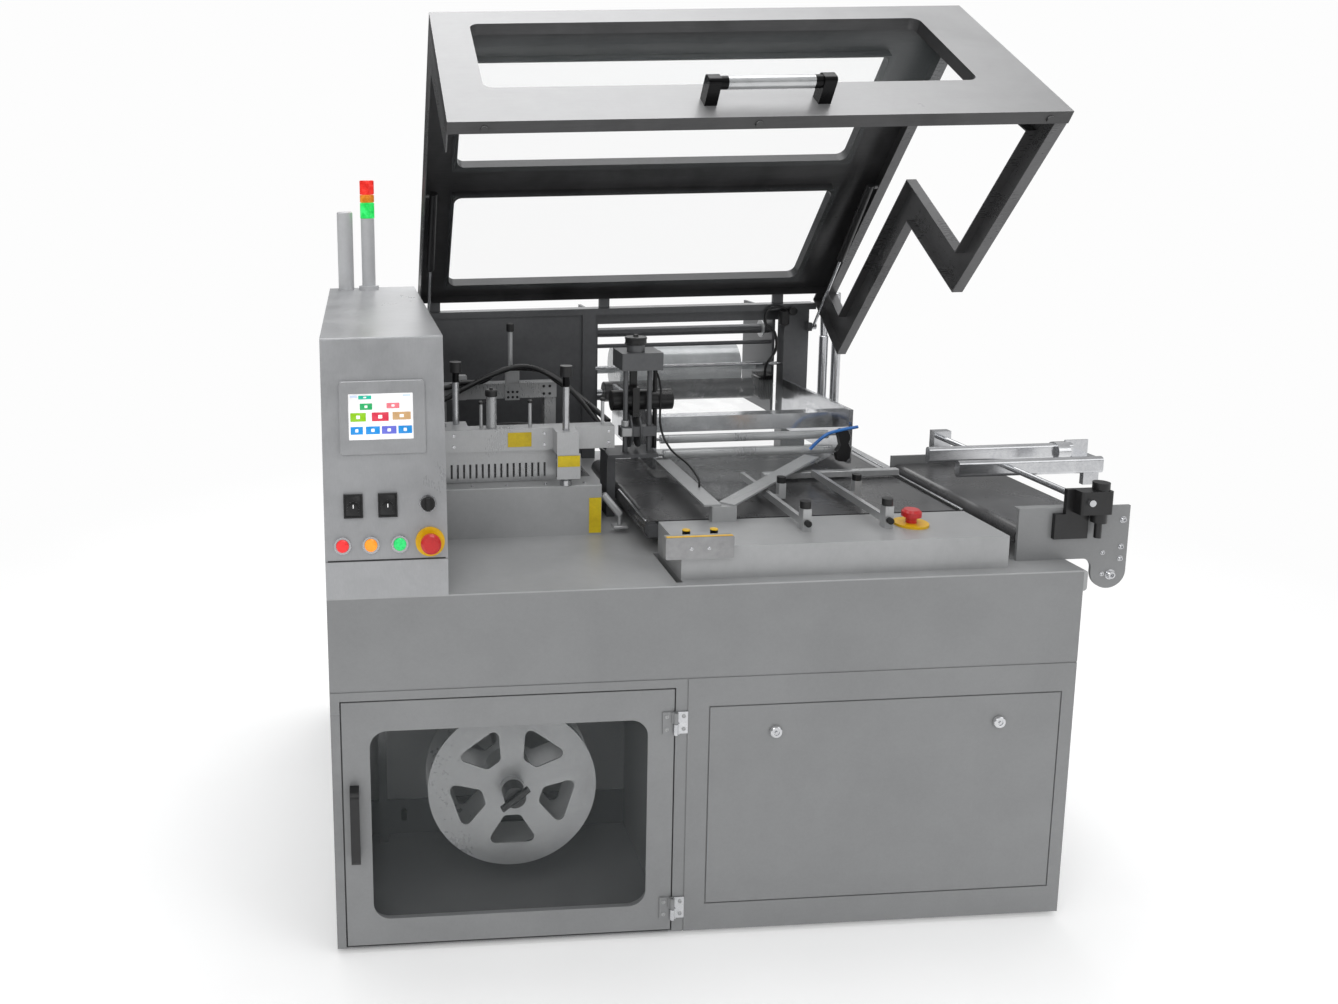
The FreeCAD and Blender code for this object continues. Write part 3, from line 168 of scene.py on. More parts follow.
def finish_of(name, low, high, rough=0.4, metallic=0.0, cloud=4.0, grain=(1.0, 1.0, 1.0), fine=90.0,
              bump=0.05, glow=0.0, alpha=1.0, coat=0.0, split=None, wear=0.0, shade_by_facing=None):
    """A cloudy finish between two colours. cloud and fine count patterns to the metre, and grain stretches
    the fine one. split is (axis, place, width, low, high): beyond that distance from the place along the
    axis the second pair of colours takes over. shade_by_facing is (direction, low, high): faces that look
    away from the direction take that pair instead, painted light and shade that follows which way a face
    turns."""
    made = bpy.data.materials.new(name)
    made.use_nodes = True
    tree = made.node_tree
    tree.nodes.clear()
    place = add(tree, "TexCoord").outputs["Object"]
    clouds = add(tree, "TexNoise", Vector=place, Scale=cloud, Detail=5.0, Roughness=0.62, Distortion=0.6)
    stretched = add(tree, "Mapping", Vector=place, Scale=grain)
    lines = add(tree, "TexNoise", Vector=stretched.outputs[0], Scale=fine, Detail=3.0, Roughness=0.6)
    mixed = add(tree, "Math", {"operation": "MULTIPLY_ADD"})
    tree.links.new(lines.outputs["Fac"], mixed.inputs[0])
    mixed.inputs[1].default_value = grain_share
    tree.links.new(clouds.outputs["Fac"], mixed.inputs[2])
    colour = ramp(tree, mixed.outputs[0], ((dark_end, low), (pale_end, high)))
    if split:
        axis, middle, reach, second_low, second_high = split
        parts = add(tree, "SeparateXYZ", Vector=place)
        offset = add(tree, "Math", {"operation": "SUBTRACT"})
        tree.links.new(parts.outputs["XYZ".index(axis)], offset.inputs[0])
        offset.inputs[1].default_value = middle
        if reach:
            distance = add(tree, "Math", {"operation": "ABSOLUTE"})
            tree.links.new(offset.outputs[0], distance.inputs[0])
            offset = distance
        beyond = add(tree, "Math", {"operation": "GREATER_THAN"})
        tree.links.new(offset.outputs[0], beyond.inputs[0])
        beyond.inputs[1].default_value = reach
        second = ramp(tree, mixed.outputs[0], ((dark_end, second_low), (pale_end, second_high)))
        both = add(tree, "MixRGB", Fac=beyond.outputs[0])
        tree.links.new(colour, both.inputs[1])
        tree.links.new(second, both.inputs[2])
        colour = both.outputs[0]
    if shade_by_facing:
        direction, second_low, second_high = shade_by_facing
        dot = add(tree, "VectorMath", {"operation": "DOT_PRODUCT"})
        tree.links.new(add(tree, "TexCoord").outputs["Normal"], dot.inputs[0])
        dot.inputs[1].default_value = direction
        outside = add(tree, "MapRange", Value=dot.outputs["Value"], From_Min=turned_away,
                      From_Max=turned_to)
        both = add(tree, "MixRGB", Fac=outside.outputs[0])
        tree.links.new(ramp(tree, mixed.outputs[0], ((dark_end, second_low), (pale_end, second_high))),
                       both.inputs[1])
        tree.links.new(colour, both.inputs[2])
        colour = both.outputs[0]
    if wear:
        smudges = add(tree, "TexNoise", Vector=place, Scale=cloud * 3.7, Detail=8.0, Roughness=0.7)
        darker = add(tree, "MixRGB", {"blend_type": "MULTIPLY"}, Fac=wear)
        tree.links.new(colour, darker.inputs[1])
        tree.links.new(ramp(tree, smudges.outputs["Fac"], ((0.35, "#8c8c8c"), (0.6, "#ffffff"))),
                       darker.inputs[2])
        colour = darker.outputs[0]
    rub = add(tree, "MapRange", Value=mixed.outputs[0], From_Min=0.4, From_Max=0.9,
              To_Min=max(rough - 0.07, 0.04), To_Max=min(rough + 0.1, 1.0))
    relief = add(tree, "Bump", Strength=bump, Distance=0.0006, Height=lines.outputs["Fac"])
    shader = add(tree, "BsdfPrincipled", Base_Color=colour, Roughness=rub.outputs[0],
                 Normal=relief.outputs[0])
    shader.inputs["Metallic"].default_value = metallic
    shader.inputs["Alpha"].default_value = alpha
    shader.inputs["Coat Weight"].default_value = coat
    if glow:
        tree.links.new(colour, shader.inputs["Emission Color"])
        shader.inputs["Emission Strength"].default_value = glow
    tree.links.new(shader.outputs[0], add(tree, "OutputMaterial").inputs["Surface"])
    return made


def dress(members, finish):
    """Gives the CAD nodes of those names one finish."""
    for member in members.split():
        nodes[member].data.materials.clear()
        nodes[member].data.materials.append(finishes[finish])


# Powder coat on folded steel sheet: an even mid grey that clouds slightly and hardly mirrors.
finishes["cabinet_paint"] = finish_of("cabinet_grey_paint", "#878889", "#8f9091", 0.42, 0.15, 3.0, fine=160,
                                      wear=.06)
# The same powder coat on the door, a shade paler.
finishes["door_paint"] = finish_of("door_grey_paint", "#898a8b", "#919293", 0.40, 0.18, 3.4, fine=160,
                                   wear=.06)
# Ground steel plate: pale, with a fine grain along the machine and soft reflections.
finishes["plate"] = finish_of("ground_steel_plate", "#a3a4a5", "#afb0b1", 0.36, 0.25, 5.0, (1, 6, 1), 70,
                              wear=.05)
# Painted steel sheet, mid grey outside. Beyond 4 mm behind its front edge the sheet takes a near-black pair,
# painted shade inside the compartment; faces that look away from the given direction, the floor among them,
# take a mid grey pair, so the floor is painted light beside the shaded walls.
finishes["liner"] = finish_of("compartment_steel", "#878889", "#8f9091", 0.20, 0.3, 3.0, fine=60, wear=.1,
                              split=("Y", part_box("compartment_liner")[0].y + 0.004, 0.0, "#393a3b",
                                     "#48494a"), shade_by_facing=((0.5, -0.4, -0.768), "#7d7e7f", "#88898a"))
# Polished steel tube: bright, with long narrow reflections.
finishes["polished"] = finish_of("polished_steel_tube", "#b4b5b8", "#d6d7d9", 0.16, 0.92, 6.0, (1, 8, 1),
                                 120, .03)
# Moulded black plastic with a fine pebbled surface.
finishes["black_plastic"] = finish_of("black_plastic", "#111112", "#1f1f20", 0.38, 0.0, 20.0, fine=400,
                                      bump=.15)
# Clear polycarbonate sheet: almost nothing but its gloss.
finishes["glass"] = finish_of("clear_polycarbonate", "#98a0a2", "#a6aeb0", 0.05, 0.0, 2.0, bump=.01,
                              alpha=.03)
# Bare milled aluminium: pale grey with a fine cross grain and half-soft reflections.
finishes["aluminium"] = finish_of("bare_aluminium", "#a8a9aa", "#bcbdbe", 0.30, 0.50, 7.0, (7, 1, 1), 90)
# Black paint and cable sheath: smoother and a little shinier than the plastic.
finishes["black_paint"] = finish_of("black_paint", "#161617", "#252526", 0.30, 0.1, 12.0, fine=250, bump=.1)
dress("cabinet_housing base_plinth access_panel", "cabinet_paint")
dress("cabinet_door", "door_paint")
dress("deck_plate", "plate")
dress("compartment_liner", "liner")
dress("door_hinges", "polished")
dress("door_handle", "black_plastic")
dress("door_window", "glass")

# Places are millimetres from the lower front left corner of the cabinet, like a fitter's measurements.
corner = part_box("cabinet_housing")[0]
front, rear, upward, rightward = Vector((0, -1, 0)), Vector((0, 1, 0)), Vector((0, 0, 1)), Vector((1, 0, 0))
sharp_edge = math.radians(35)           # faces that meet at more than this keep a crisp edge


def spot(x, y, z):
    """Point in metres of a fitter's measurement: the corner plus the millimetres over a thousand."""
    return corner + Vector((x, y, z)) / 1000


def sides_of(axis):
    """Two directions square to an axis, then the axis itself, all of length one."""
    along = Vector(axis).normalized()
    first = Vector(axis).orthogonal().normalized()
    return np.array(first), np.array(along.cross(first)), np.array(along)


def rings(loops):
    """Skin over a grid of loops: each point joins the next in its loop and the two above, and the first
    and last loop are closed by a face."""
    index = np.arange(loops.shape[0] * loops.shape[1]).reshape(loops.shape[:2])
    after = np.roll(index, -1, axis=1)
    quads = np.stack((index[:-1], after[:-1], after[1:], index[1:]), axis=-1).reshape(-1, 4)
    return loops.reshape(-1, 3), quads.tolist() + [index[0, ::-1].tolist(), index[-1].tolist()]


def turned(centre, axis, profile, sides=24):
    """Solid of revolution: circles r (cos a, sin a) at distance h along axis, for each (r, h) in mm."""
    first, second, along = sides_of(axis)
    angle = 2 * np.pi * np.arange(sides) / sides
    circle = np.outer(np.cos(angle), first) + np.outer(np.sin(angle), second)
    radius, height = np.array(profile, float).T[:, :, None, None] / 1000
    return rings(np.array(centre) + height * along + radius * circle)


def screw(centre, axis, radius):
    """Socket screw head: low dome with a recessed socket, turned from shares of its radius."""
    return turned(centre, axis,
                  ((radius * 1.25, 0), (radius * 1.25, 0.6), (radius, 0.7), (radius, radius * .5),
                                 (radius * .82, radius * .72), (radius * .5, radius * .74),
                                 (radius * .42, radius * .3)), 18)


def slab(low, high, edge=1.0):
    """Block between two fitter's points: four loops of eight corners, so all edges are broken by edge."""
    low, high, cut = np.array(spot(*low)), np.array(spot(*high)), edge / 1000
    inset = np.array((cut, 0, 0, cut))
    z = np.array((low[2], low[2] + cut, high[2] - cut, high[2]))
    x0, x1, y0, y1 = low[0] + inset, high[0] - inset, low[1] + inset, high[1] - inset
    x = np.stack((x0 + cut, x1 - cut, x1, x1, x1 - cut, x0 + cut, x0, x0), axis=1)
    y = np.stack((y0, y0, y0 + cut, y1 - cut, y1, y1, y1 - cut, y0 + cut), axis=1)
    return rings(np.stack((x, y, np.repeat(z[:, None], 8, axis=1)), axis=2))


def plate(origin, across, up, out, width, height, radius, thick):
    """Flat plate with round corners, in mm: across and up span it, out is its thickness direction."""
    outline = []
    for cx, cy, start in ((width - radius, height - radius, 0), (radius, height - radius, 90),
                          (radius, radius, 180), (width - radius, radius, 270)):
        outline += [(cx + radius * math.cos(math.radians(start + turn)),
                     cy + radius * math.sin(math.radians(start + turn))) for turn in (0, 30, 60, 90)]
    loops = []
    for depth, inset in ((0, 0), (thick * 0.7, 0), (thick, min(0.4, thick / 2))):
        loops.append([origin + (across * (x + inset * (1 if x < width / 2 else -1))
                                + up * (y + inset * (1 if y < height / 2 else -1)) + out * depth) / 1000
                      for x, y in outline])
    return rings(np.array([[tuple(p) for p in loop] for loop in loops]))


def piece(name, shapes, finish, body="machine"):
    """Joins shapes into one smooth-shaded mesh object with that finish, riding on a body."""
    points, faces, count = [], [], 0
    for shape_points, shape_faces in shapes:
        faces += [[i + count for i in face] for face in shape_faces]
        points.append(shape_points)
        count += len(shape_points)
    mesh = bpy.data.meshes.new(name)
    mesh.from_pydata(np.vstack(points).tolist(), [], faces)
    mesh.materials.append(finishes[finish])
    made = bpy.data.objects.new(name, mesh)
    bpy.context.scene.collection.objects.link(made)
    mesh.shade_smooth()
    mesh.set_sharp_from_angle(angle=sharp_edge)
    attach(made, body)


lock_places = ((917, 446), (1391, 446))
piece("panel_locks", [turned(spot(x, -4, z), front,
                             ((12.5, 0), (12.5, 1.2), (11, 2.4), (6, 2.6), (5.4, 1.0),
                                                     (3.2, 0.8), (2.8, 3.0))) for x, z in lock_places],
                                                     "polished")
hinge_rows = [z for low in (34, 452) for z in (low + 10, low + 38)]
piece("hinge_screws", [screw(spot(723, -3, z), front, 3.4) for z in hinge_rows], "aluminium")
piece("hinge_screws_door", [screw(spot(688, -3, z), front, 3.4) for z in hinge_rows], "aluminium", "door")
piece("console_seam", [slab((5, -0.8, 846), (238, 0.2, 848.5), 0.3)], "black_paint")
piece("cable_fitting", [plate(spot(150, 359, 44), rightward, upward, front, 16, 30, 7.5, 7)],
      "black_plastic")

# ------------------------------------------------------------ scrap reel
# Two cut aluminium discs on a core take up the trimmed film. The reel slides on its axle and is held by a
# black T handle.
# Cut aluminium sheet: a flat pale grey, dulled by handling.
finishes["reel"] = finish_of("reel_aluminium_sheet", "#909192", "#a2a3a4", 0.30, 0.4, 5.0, fine=120)
dress("scrap_reel", "reel")
dress("reel_axle", "aluminium")
dress("reel_handle", "black_plastic")

# ------------------------------------------------------------ operating panel
# A brushed steel console with a touch display, two adjusters, a selector, three lit buttons and a stop.
# The display glows white and pale blue with plain coloured tiles for its keys; the adjusters have white
# lines round them, which glow with the display's white as a painted highlight. Lamps and a canister stand
# on the console's top.
# Brushed steel of the console and the display's frame: fine brush marks across.
finishes["console"] = finish_of("console_brushed_steel", "#a4a5a7", "#b0b1b3", 0.32, 0.35, 6.0, (5, 1, 1),
                                80, wear=.08)
# Grey coated lamp stem and canister.
finishes["column"] = finish_of("grey_lamp_column", "#bcbdbe", "#c9cacc", 0.34, 0.08, 3.0, fine=90, bump=.01)
# Moulded red plastic of the stop buttons, glossy.
finishes["red"] = finish_of("red_plastic", "#b8181c", "#d52a2c", 0.30, 0.0, 12.0, fine=300, coat=.3)
# Yellow plastic guard of the stop buttons.
finishes["stop_yellow"] = finish_of("stop_guard_yellow", "#dca800", "#efc412", 0.36, 0.0, 9.0, fine=200)
# Lit red lens.
finishes["red_lamp"] = finish_of("red_lamp_lens", "#b81410", "#ef3a30", 0.22, 0.0, 30.0, glow=.55, coat=.3)
# Lit amber lens.
finishes["amber_lamp"] = finish_of("amber_lamp_lens", "#b4620a", "#ef9426", 0.24, 0.0, 30.0, glow=.30,
                                   coat=.3)
# Lit green lens.
finishes["green_lamp"] = finish_of("green_lamp_lens", "#08a838", "#34d86c", 0.24, 0.0, 30.0, glow=.8,
                                   coat=.3)
# Lit red button cap.
finishes["red_button"] = finish_of("red_button_lens", "#d01418", "#ef2f30", 0.26, 0.0, 30.0, glow=.35,
                                   coat=.4)
# Lit amber button cap.
finishes["amber_button"] = finish_of("amber_button_lens", "#ee7c06", "#ffa32a", 0.26, 0.0, 30.0, glow=.45,
                                     coat=.4)
# Lit green button cap.
finishes["green_button"] = finish_of("green_button_lens", "#10b458", "#30dc78", 0.26, 0.0, 30.0, glow=.5,
                                     coat=.4)
dress("console_housing touch_screen", "console")
dress("console_columns", "column")
dress("selector_knob dial_meters", "black_plastic")
dress("button_collars", "polished")
dress("panel_stop", "red")
dress("stop_guards", "stop_yellow")
dress("lamp_red", "red_lamp")
dress("lamp_amber", "amber_lamp")
dress("lamp_green", "green_lamp")
dress("button_red", "red_button")
dress("button_amber", "amber_button")
dress("button_green", "green_button")


lean = math.atan2(56, 436)     # slope of the console's face, which starts 848 above the cabinet's foot
face_foot = 848


def on_face(x, z, out):
    """Point on the console's sloping face: x and z along it, out in front of it, turned by lean."""
    height = z - face_foot
    return spot(x, height * math.sin(lean) - out * math.cos(lean),
                face_foot + height * math.cos(lean) + out * math.sin(lean))


face_out = on_face(0, face_foot, 1) - on_face(0, face_foot, 0)


def shade(colour, share):
    """Darker version of a hex colour."""
    return "#" + "".join("%02x" % round(int(colour[i:i + 2], 16) * share) for i in (1, 3, 5))


tile_finishes = {"sky": "#d5e4fb", "teal": "#25c3a5", "leaf": "#2fb26a", "rose": "#f0808c",
                 "lime": "#93cc22",
                 "crimson": "#dc3b52", "sand": "#d0a878", "blue": "#2490dd", "violet": "#6c72d8",
                 "paper": "#ffffff"}
for tile_name, tile_colour in tile_finishes.items():
    finishes[tile_name] = finish_of("display_" + tile_name, shade(tile_colour, 0.86), tile_colour, 0.2,
                                    glow=0.42, bump=0.0)
display_left, display_top, display_width, display_height = 53, 1177, 128, 91
tiles = ((0.03, 0.03, 0.11, 0.05, "sky"), (0.16, 0.04, 0.20, 0.08, "teal"), (0.84, 0.03, 0.12, 0.05, "sky"),
         (0.18, 0.21, 0.19, 0.14, "leaf"), (0.59, 0.21, 0.20, 0.12, "rose"),
         (0.03, 0.41, 0.24, 0.19, "lime"),
         (0.36, 0.41, 0.26, 0.19, "crimson"), (0.68, 0.41, 0.28, 0.17, "sand"),
         (0.03, 0.71, 0.19, 0.17, "blue"),
         (0.265, 0.71, 0.215, 0.17, "blue"), (0.51, 0.71, 0.225, 0.17, "violet"),
         (0.765, 0.71, 0.21, 0.17, "blue"))
face_up = on_face(0, face_foot + 1, 0) - on_face(0, face_foot, 0)


def panel_tile(left, top, width, height, depth):
    """A thin tile on the display: shares of the display's width and height from its top left corner."""
    origin = on_face(display_left + left * display_width, display_top - (top + height) * display_height,
                     depth)
    return plate(origin, rightward, face_up * 1000, face_out * 1000, width * display_width,
                 height * display_height, 1.0, 0.3)


piece("display_picture", [panel_tile(0.002, 0.002, 0.996, 0.996, 4.5)], "paper")
for colour in tile_finishes:
    chosen_tiles = [panel_tile(*tile[:4], 4.8) for tile in tiles if tile[4] == colour]
    if colour == "paper":
        chosen_tiles = [panel_tile(x + w * .38, y + h * .3, w * .24, h * .4, 5.1)
                        for x, y, w, h, kind in tiles if kind != "sky"]
    piece("display_tiles_" + colour, chosen_tiles, colour)

# The scale lines and pointers take the display's glowing white, so these printed marks carry a painted
# highlight.
scale_lines = []
for dial_x in (58, 126):
    for k in range(11):
        turn = math.radians(225 - 27 * k)
        along, across = (rightward * math.cos(turn) + face_up * 1000 * math.sin(turn),
                         face_up * 1000 * math.cos(turn) - rightward * math.sin(turn))
        origin = on_face(dial_x, 953, 4.1) + along * 0.0108 - across * 0.0005
        scale_lines.append(plate(origin, along, across, face_out * 1000, 3.4, 1.0, 0.3, 0.3))
    scale_lines.append(plate(on_face(dial_x - 0.8, 953, 12.1), rightward, face_up * 1000, face_out * 1000,
                             1.6, 7.5, 0.6, 0.4))
piece("adjuster_scales", scale_lines, "paper")
piece("adjuster_rims", [plate(on_face(x - 15.5, 936, 4.0), rightward, face_up * 1000, face_out * 1000,
                              31, 40, 1.5, 0.4) for x in (58, 126)], "black_plastic")

# ------------------------------------------------------------ sealing section
# A milled aluminium jaw slides on two chromed shafts over a folded cover, with a beam behind it. Added here:
# bare yellow plates, black caps, the bracket under the slide block, screws, the adjusting block, the
# conduits and hoses that arch to the tower, and the link arm.
shaft_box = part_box("jaw_shafts")
# Chromed shaft, mirror bright, with black rubber on its top end.
finishes["shaft"] = finish_of("chromed_shaft", "#9fa0a2", "#c6c7c9", 0.15, 0.9, 6.0, fine=90, bump=.03,
                              split=("Z", shaft_box[1].z - 0.024, 0.0, "#0f0f10", "#1b1b1c"))
# Yellow paint of the bare label plates, a little worn.
finishes["yellow"] = finish_of("yellow_paint", "#d0b204", "#e6cc1c", 0.42, 0.0, 9.0, fine=200, wear=.2)
dress("lower_jaw_cover", "plate")
dress("rear_jaw_frame sealing_jaw", "aluminium")
dress("jaw_shafts", "shaft")


def bar(start, end, radius, edge=1.0, sides=24):
    """Round bar between two points with turned edges."""
    length = (end - start).length * 1000
    return turned(start, end - start,
                  ((radius - edge, 0), (radius, edge), (radius, length - edge), (radius - edge, length)),
                  sides)


def swept(route, radius, sides=12, steps=10):
    """Tube along a Catmull-Rom line: each span is half of 2 b + (c - a) t + (2 a - 5 b + 4 c - d) t t +
    (3 b - a - 3 c + d) t t t. Its round sections are carried along the line without twist."""
    marks = np.array([tuple(p) for p in route])
    marks = np.vstack((2 * marks[0] - marks[1], marks, 2 * marks[-1] - marks[-2]))
    a, b, c, d = (marks[k:len(marks) - 3 + k, None] for k in range(4))
    t = (np.arange(steps) / steps)[:, None]
    line = 0.5 * (2 * b + (c - a) * t + (2 * a - 5 * b + 4 * c - d) * t ** 2
                  + (3 * b - a - 3 * c + d) * t ** 3)
    line = np.vstack((line.reshape(-1, 3), marks[-2]))
    alongs = np.vstack((line[1] - line[0], line[2:] - line[:-2], line[-1] - line[-2]))
    alongs /= np.linalg.norm(alongs, axis=1)[:, None]
    first, firsts = sides_of(alongs[0])[0], []
    for along in alongs:
        first = first - along * first.dot(along)
        first = first / np.linalg.norm(first)
        firsts.append(first)
    firsts = np.array(firsts)[:, None]
    seconds = np.cross(alongs, firsts[:, 0])[:, None]
    angle = (2 * np.pi * np.arange(sides) / sides)[:, None]
    return rings(line[:, None] + (firsts * np.cos(angle) + seconds * np.sin(angle)) * radius / 1000)


piece("jaw_plates", [slab((415, 343.6, 974), (470, 345, 1008), 0.4),
                     slab((522, 298.2, 936), (573, 299.6, 962), 0.4)],
      "yellow", "upper_jaw")
piece("jaw_bracket", [slab((520, 299.6, 906), (575, 303, 966), 1.0),
                      slab((528, 303, 906), (568, 330, 909), 0.8)],
      "aluminium", "upper_jaw")
piece("jaw_caps", [turned(spot(380, 365, 1091), upward,
                          ((13, 0), (14.5, 1.5), (14.5, 13), (12, 16), (5, 16), (4, 20))),
                   *[turned(spot(x, 365, 1073), upward,
                            ((5.5, 0), (6.5, 1), (6.5, 5), (4, 7))) for x in (356, 470, 640)]],
      "black_plastic", "upper_jaw")
piece("jaw_screws", [screw(spot(x, 345, z), front, 3.2) for x in (650, 500, 290) for z in (978, 1004)],
      "polished", "upper_jaw")
piece("cover_strip", [slab((597, 308.8, 774), (625, 310, 858), 0.4)], "yellow")
piece("cover_screws", [screw(spot(x, 330, 888), upward, 3.0) for x in (330, 410, 500, 590)], "polished")
piece("adjusting_block", [plate(spot(334, 704, 1012), rightward, upward, front, 26, 66, 5, 18),
                          plate(spot(464, 697.9, 1052), rightward, upward, front, 34, 32, 3, 1.2)],
                          "aluminium")
piece("rear_screw_cap",
      [turned(spot(480, 724, 1186), upward, ((9, 0), (10.5, 1.5), (10.5, 20), (8.5, 22)))],
      "black_plastic")
piece("rear_beam_screws",
      [screw(spot(x, 698, z), front, 2.8) for x in (470, 482, 494) for z in (1014, 1028)]
      + [screw(spot(x, 704, z), front, 3.0) for x in (290, 566, 582) for z in (1020, 1040)],
      "black_plastic")
conduits = (
    ((243, 655, 1062), (300, 672, 1050), (345, 680, 1060), (400, 684, 1062), (459, 686, 1092),
     (549, 680, 1088),
     (598, 660, 1058), (650, 600, 1022), (694, 520, 985)),
    ((243, 640, 1035), (290, 660, 1020), (350, 672, 1046), (420, 676, 1078), (500, 678, 1100),
     (570, 668, 1080),
     (630, 618, 1036), (690, 512, 955)),
)
piece("sealer_conduits", [swept([spot(*p) for p in route], 7.0) for route in conduits], "black_paint")
piece("jaw_hoses", [swept([spot(*p) for p in route], 4.5) for route in (
    ((243, 560, 930), (290, 520, 965), (330, 480, 985), (372, 440, 990), (392, 405, 975), (400, 388, 960)),
    ((243, 590, 900), (330, 560, 950), (430, 520, 985), (540, 480, 985), (620, 470, 960),
     (676, 470, 930)))],
      "black_paint")
piece("link_arm", [bar(spot(632, 322, 862), spot(672, 318, 812), 8.5, 2.0),
                   slab((654, 306, 782), (688, 334, 788), 1.0),
                   bar(spot(671, 320, 788), spot(671, 320, 812), 5, 0.6)], "aluminium")

# ------------------------------------------------------------ side sealing tower
# A coated steel frame on a leg, with a black motor. Added here: the two sealing wheels between the columns,
# the black guide rod, the clamp, the cap's ribs and the sensor cable down to the plough.
# Dark grey coated steel of frames and beds.
finishes["dark_steel"] = finish_of("dark_grey_steel", "#57585a", "#656668", 0.34, 0.4, 4.0, fine=90,
                                   wear=.06)
dress("side_sealer", "dark_steel")
dress("sealer_drive", "black_paint")

piece("sealing_wheels",
      [turned(spot(x, 470, 974), rightward, ((30, 0), (40, 0.6), (42, 2), (42, 5), (40, 6.4), (12, 6.6)),
              48)
                         for x in (726, 748)], "dark_steel")
piece("tower_guide_rod", [bar(spot(796, 474, 926), spot(796, 474, 1130), 5.5)], "black_paint")
piece("tower_clamp", [slab((704, 428, 968), (728, 434, 988), 1.0),
                      bar(spot(716, 446, 990), spot(716, 446, 1004), 9.5)],
      "aluminium")
piece("tower_cap_ribs",
      [turned(spot(739, 446, 1190), upward, ((24, 0), (26.2, 1), (26.2, 3), (24.8, 4), (24.8, 13),
                                                             (26.2, 14), (26.2, 16.5), (22, 18.4), (7, 18.6), (5, 24)), 40)],
      "black_plastic")
piece("sensor_cable", [swept([spot(*p) for p in ((786, 440, 1132), (803, 452, 1080), (806, 458, 985),
                                                 (822, 430, 935),
                                                 (846, 370, 912), (850, 310, 896), (850, 300, 877))], 2.6)],
                                                 "black_plastic")

# ------------------------------------------------------------ film path
# The wound film lies on a coated rack and runs over guide tubes and rollers to the plough. Added here: the
# feed roller with its ribbed motor, bright rods and a flange, the black end bracket, the blue air hose and
# the clear film itself.
# Clear film wound on its core: milky, with fine bright lines round it.
finishes["film"] = finish_of("wound_clear_film", "#b3b6b8", "#d3d6d8", 0.16, 0.1, 9.0, (1, 30, 30), 30, .12,
                             alpha=.85, coat=.4)
# Woven belt and roller rubber: dark, with a fine weave and a dull shine.
finishes["belt"] = finish_of("conveyor_belt_rubber", "#3f3f40", "#4f4f50", 0.26, 0.0, 6.0, (1, 1, 1), 500,
                             .12, wear=.2)
dress("film_rack", "dark_steel")
dress("film_roll", "film")
dress("film_guide", "polished")
dress("film_plough", "plate")
dress("guide_roller_upper guide_roller_lower", "aluminium")

piece("feed_roller", [bar(spot(800, 1004, 955), spot(1246, 1004, 955), 30, 2.0, 40)], "belt")
piece("feed_shaft", [bar(spot(779, 1004, 955), spot(800, 1004, 955), 8),
                     bar(spot(1246, 1004, 955), spot(1258, 1004, 955), 9)],
      "polished")
piece("feed_motor", [slab((1258, 972, 928), (1300, 1036, 992), 3)]
      + [slab((1262 + 5.4 * k, 967, 924), (1264.4 + 5.4 * k, 1040, 997), 1) for k in range(7)],
      "black_paint")
piece("film_rods", [bar(spot(762, 962, 1035), spot(1316, 962, 1035), 5),
                    bar(spot(822, 650, 958), spot(1316, 650, 958), 7),
                    bar(spot(822, 700, 940), spot(1316, 700, 940), 8)], "polished")
piece("rod_flange", [turned(spot(1276, 1024, 1130), rightward,
                            ((15, 0), (26, 0.8), (27, 3), (24, 6), (15, 6.4)), 36)],
      "aluminium")
bracket_outline = ((0, 0), (22, -3), (34, 8), (36, 30), (28, 44), (34, 60), (26, 78), (8, 82), (-4, 74),
                   (2, 56),
                   (6, 40), (-6, 22))
bracket_x, bracket_z = np.array(bracket_outline).T
bracket_y, bracket_share = np.array(((540, .9), (536, 1), (528, 1), (524, .9))).T[:, :, None]
bracket_grid = np.broadcast_arrays(1284 + bracket_x * bracket_share, bracket_y, 862 + bracket_z)
piece("end_bracket", [rings(np.array(corner) + np.stack(bracket_grid, axis=2) / 1000)], "black_plastic")
finishes["hose"] = finish_of("blue_air_hose", "#1c5fae", "#3580d0", 0.3, 0.0, 20, coat=.3)
piece("air_hose", [swept([spot(*p) for p in ((1214, 532, 893), (1232, 528, 914), (1254, 522, 934),
                                             (1288, 520, 944),
                                             (1330, 522, 950))], 4.0),
                   swept([spot(*p) for p in ((604, 440, 800), (622, 424, 812), (640, 410, 815))], 3.0)],
                   "hose")
finishes["web"] = finish_of("clear_film_web", "#c3c7c9", "#eceff0", 0.08, 0.0, 7, (1, 8, 8), 22, .6,
                            alpha=.13, coat=.6)
web_path = ((1037, 1010), (1004, 986.5), (900, 980), (760, 975), (642, 973), (598, 972), (575, 930),
            (547, 890),
            (480, 879.5), (400, 878.5), (300, 878), (214, 877.5))
# The web is a grid: rows four to each span of its path, columns from its left to its right edge. It narrows
# toward the plough, and two sines multiplied together give its ripples of 1.4 mm.
web_columns = 40
web_marks = np.array(web_path, float)
web_share = np.arange(len(web_path) * 4 - 3) / 4
web_from = web_share.astype(int)
web_to = np.minimum(web_from + 1, len(web_path) - 1)
web_y, web_z = (web_marks[web_from] + (web_marks[web_to] - web_marks[web_from])
                * (web_share % 1)[:, None]).T[:, :, None]
narrow = np.maximum(0.0, (540 - web_y) / 340)
web_left, web_right = 836 + 22 * np.minimum(narrow * 4, 1), 1296 - 410 * narrow
column = np.arange(web_columns + 1)
ripple = 1.4 * np.sin(column * 0.9 + web_y * 0.021) * np.sin(web_y * 0.013 + column * 0.23) ** 2
web_grid = np.broadcast_arrays(web_left + (web_right - web_left) * column / web_columns, web_y,
                               web_z + ripple)
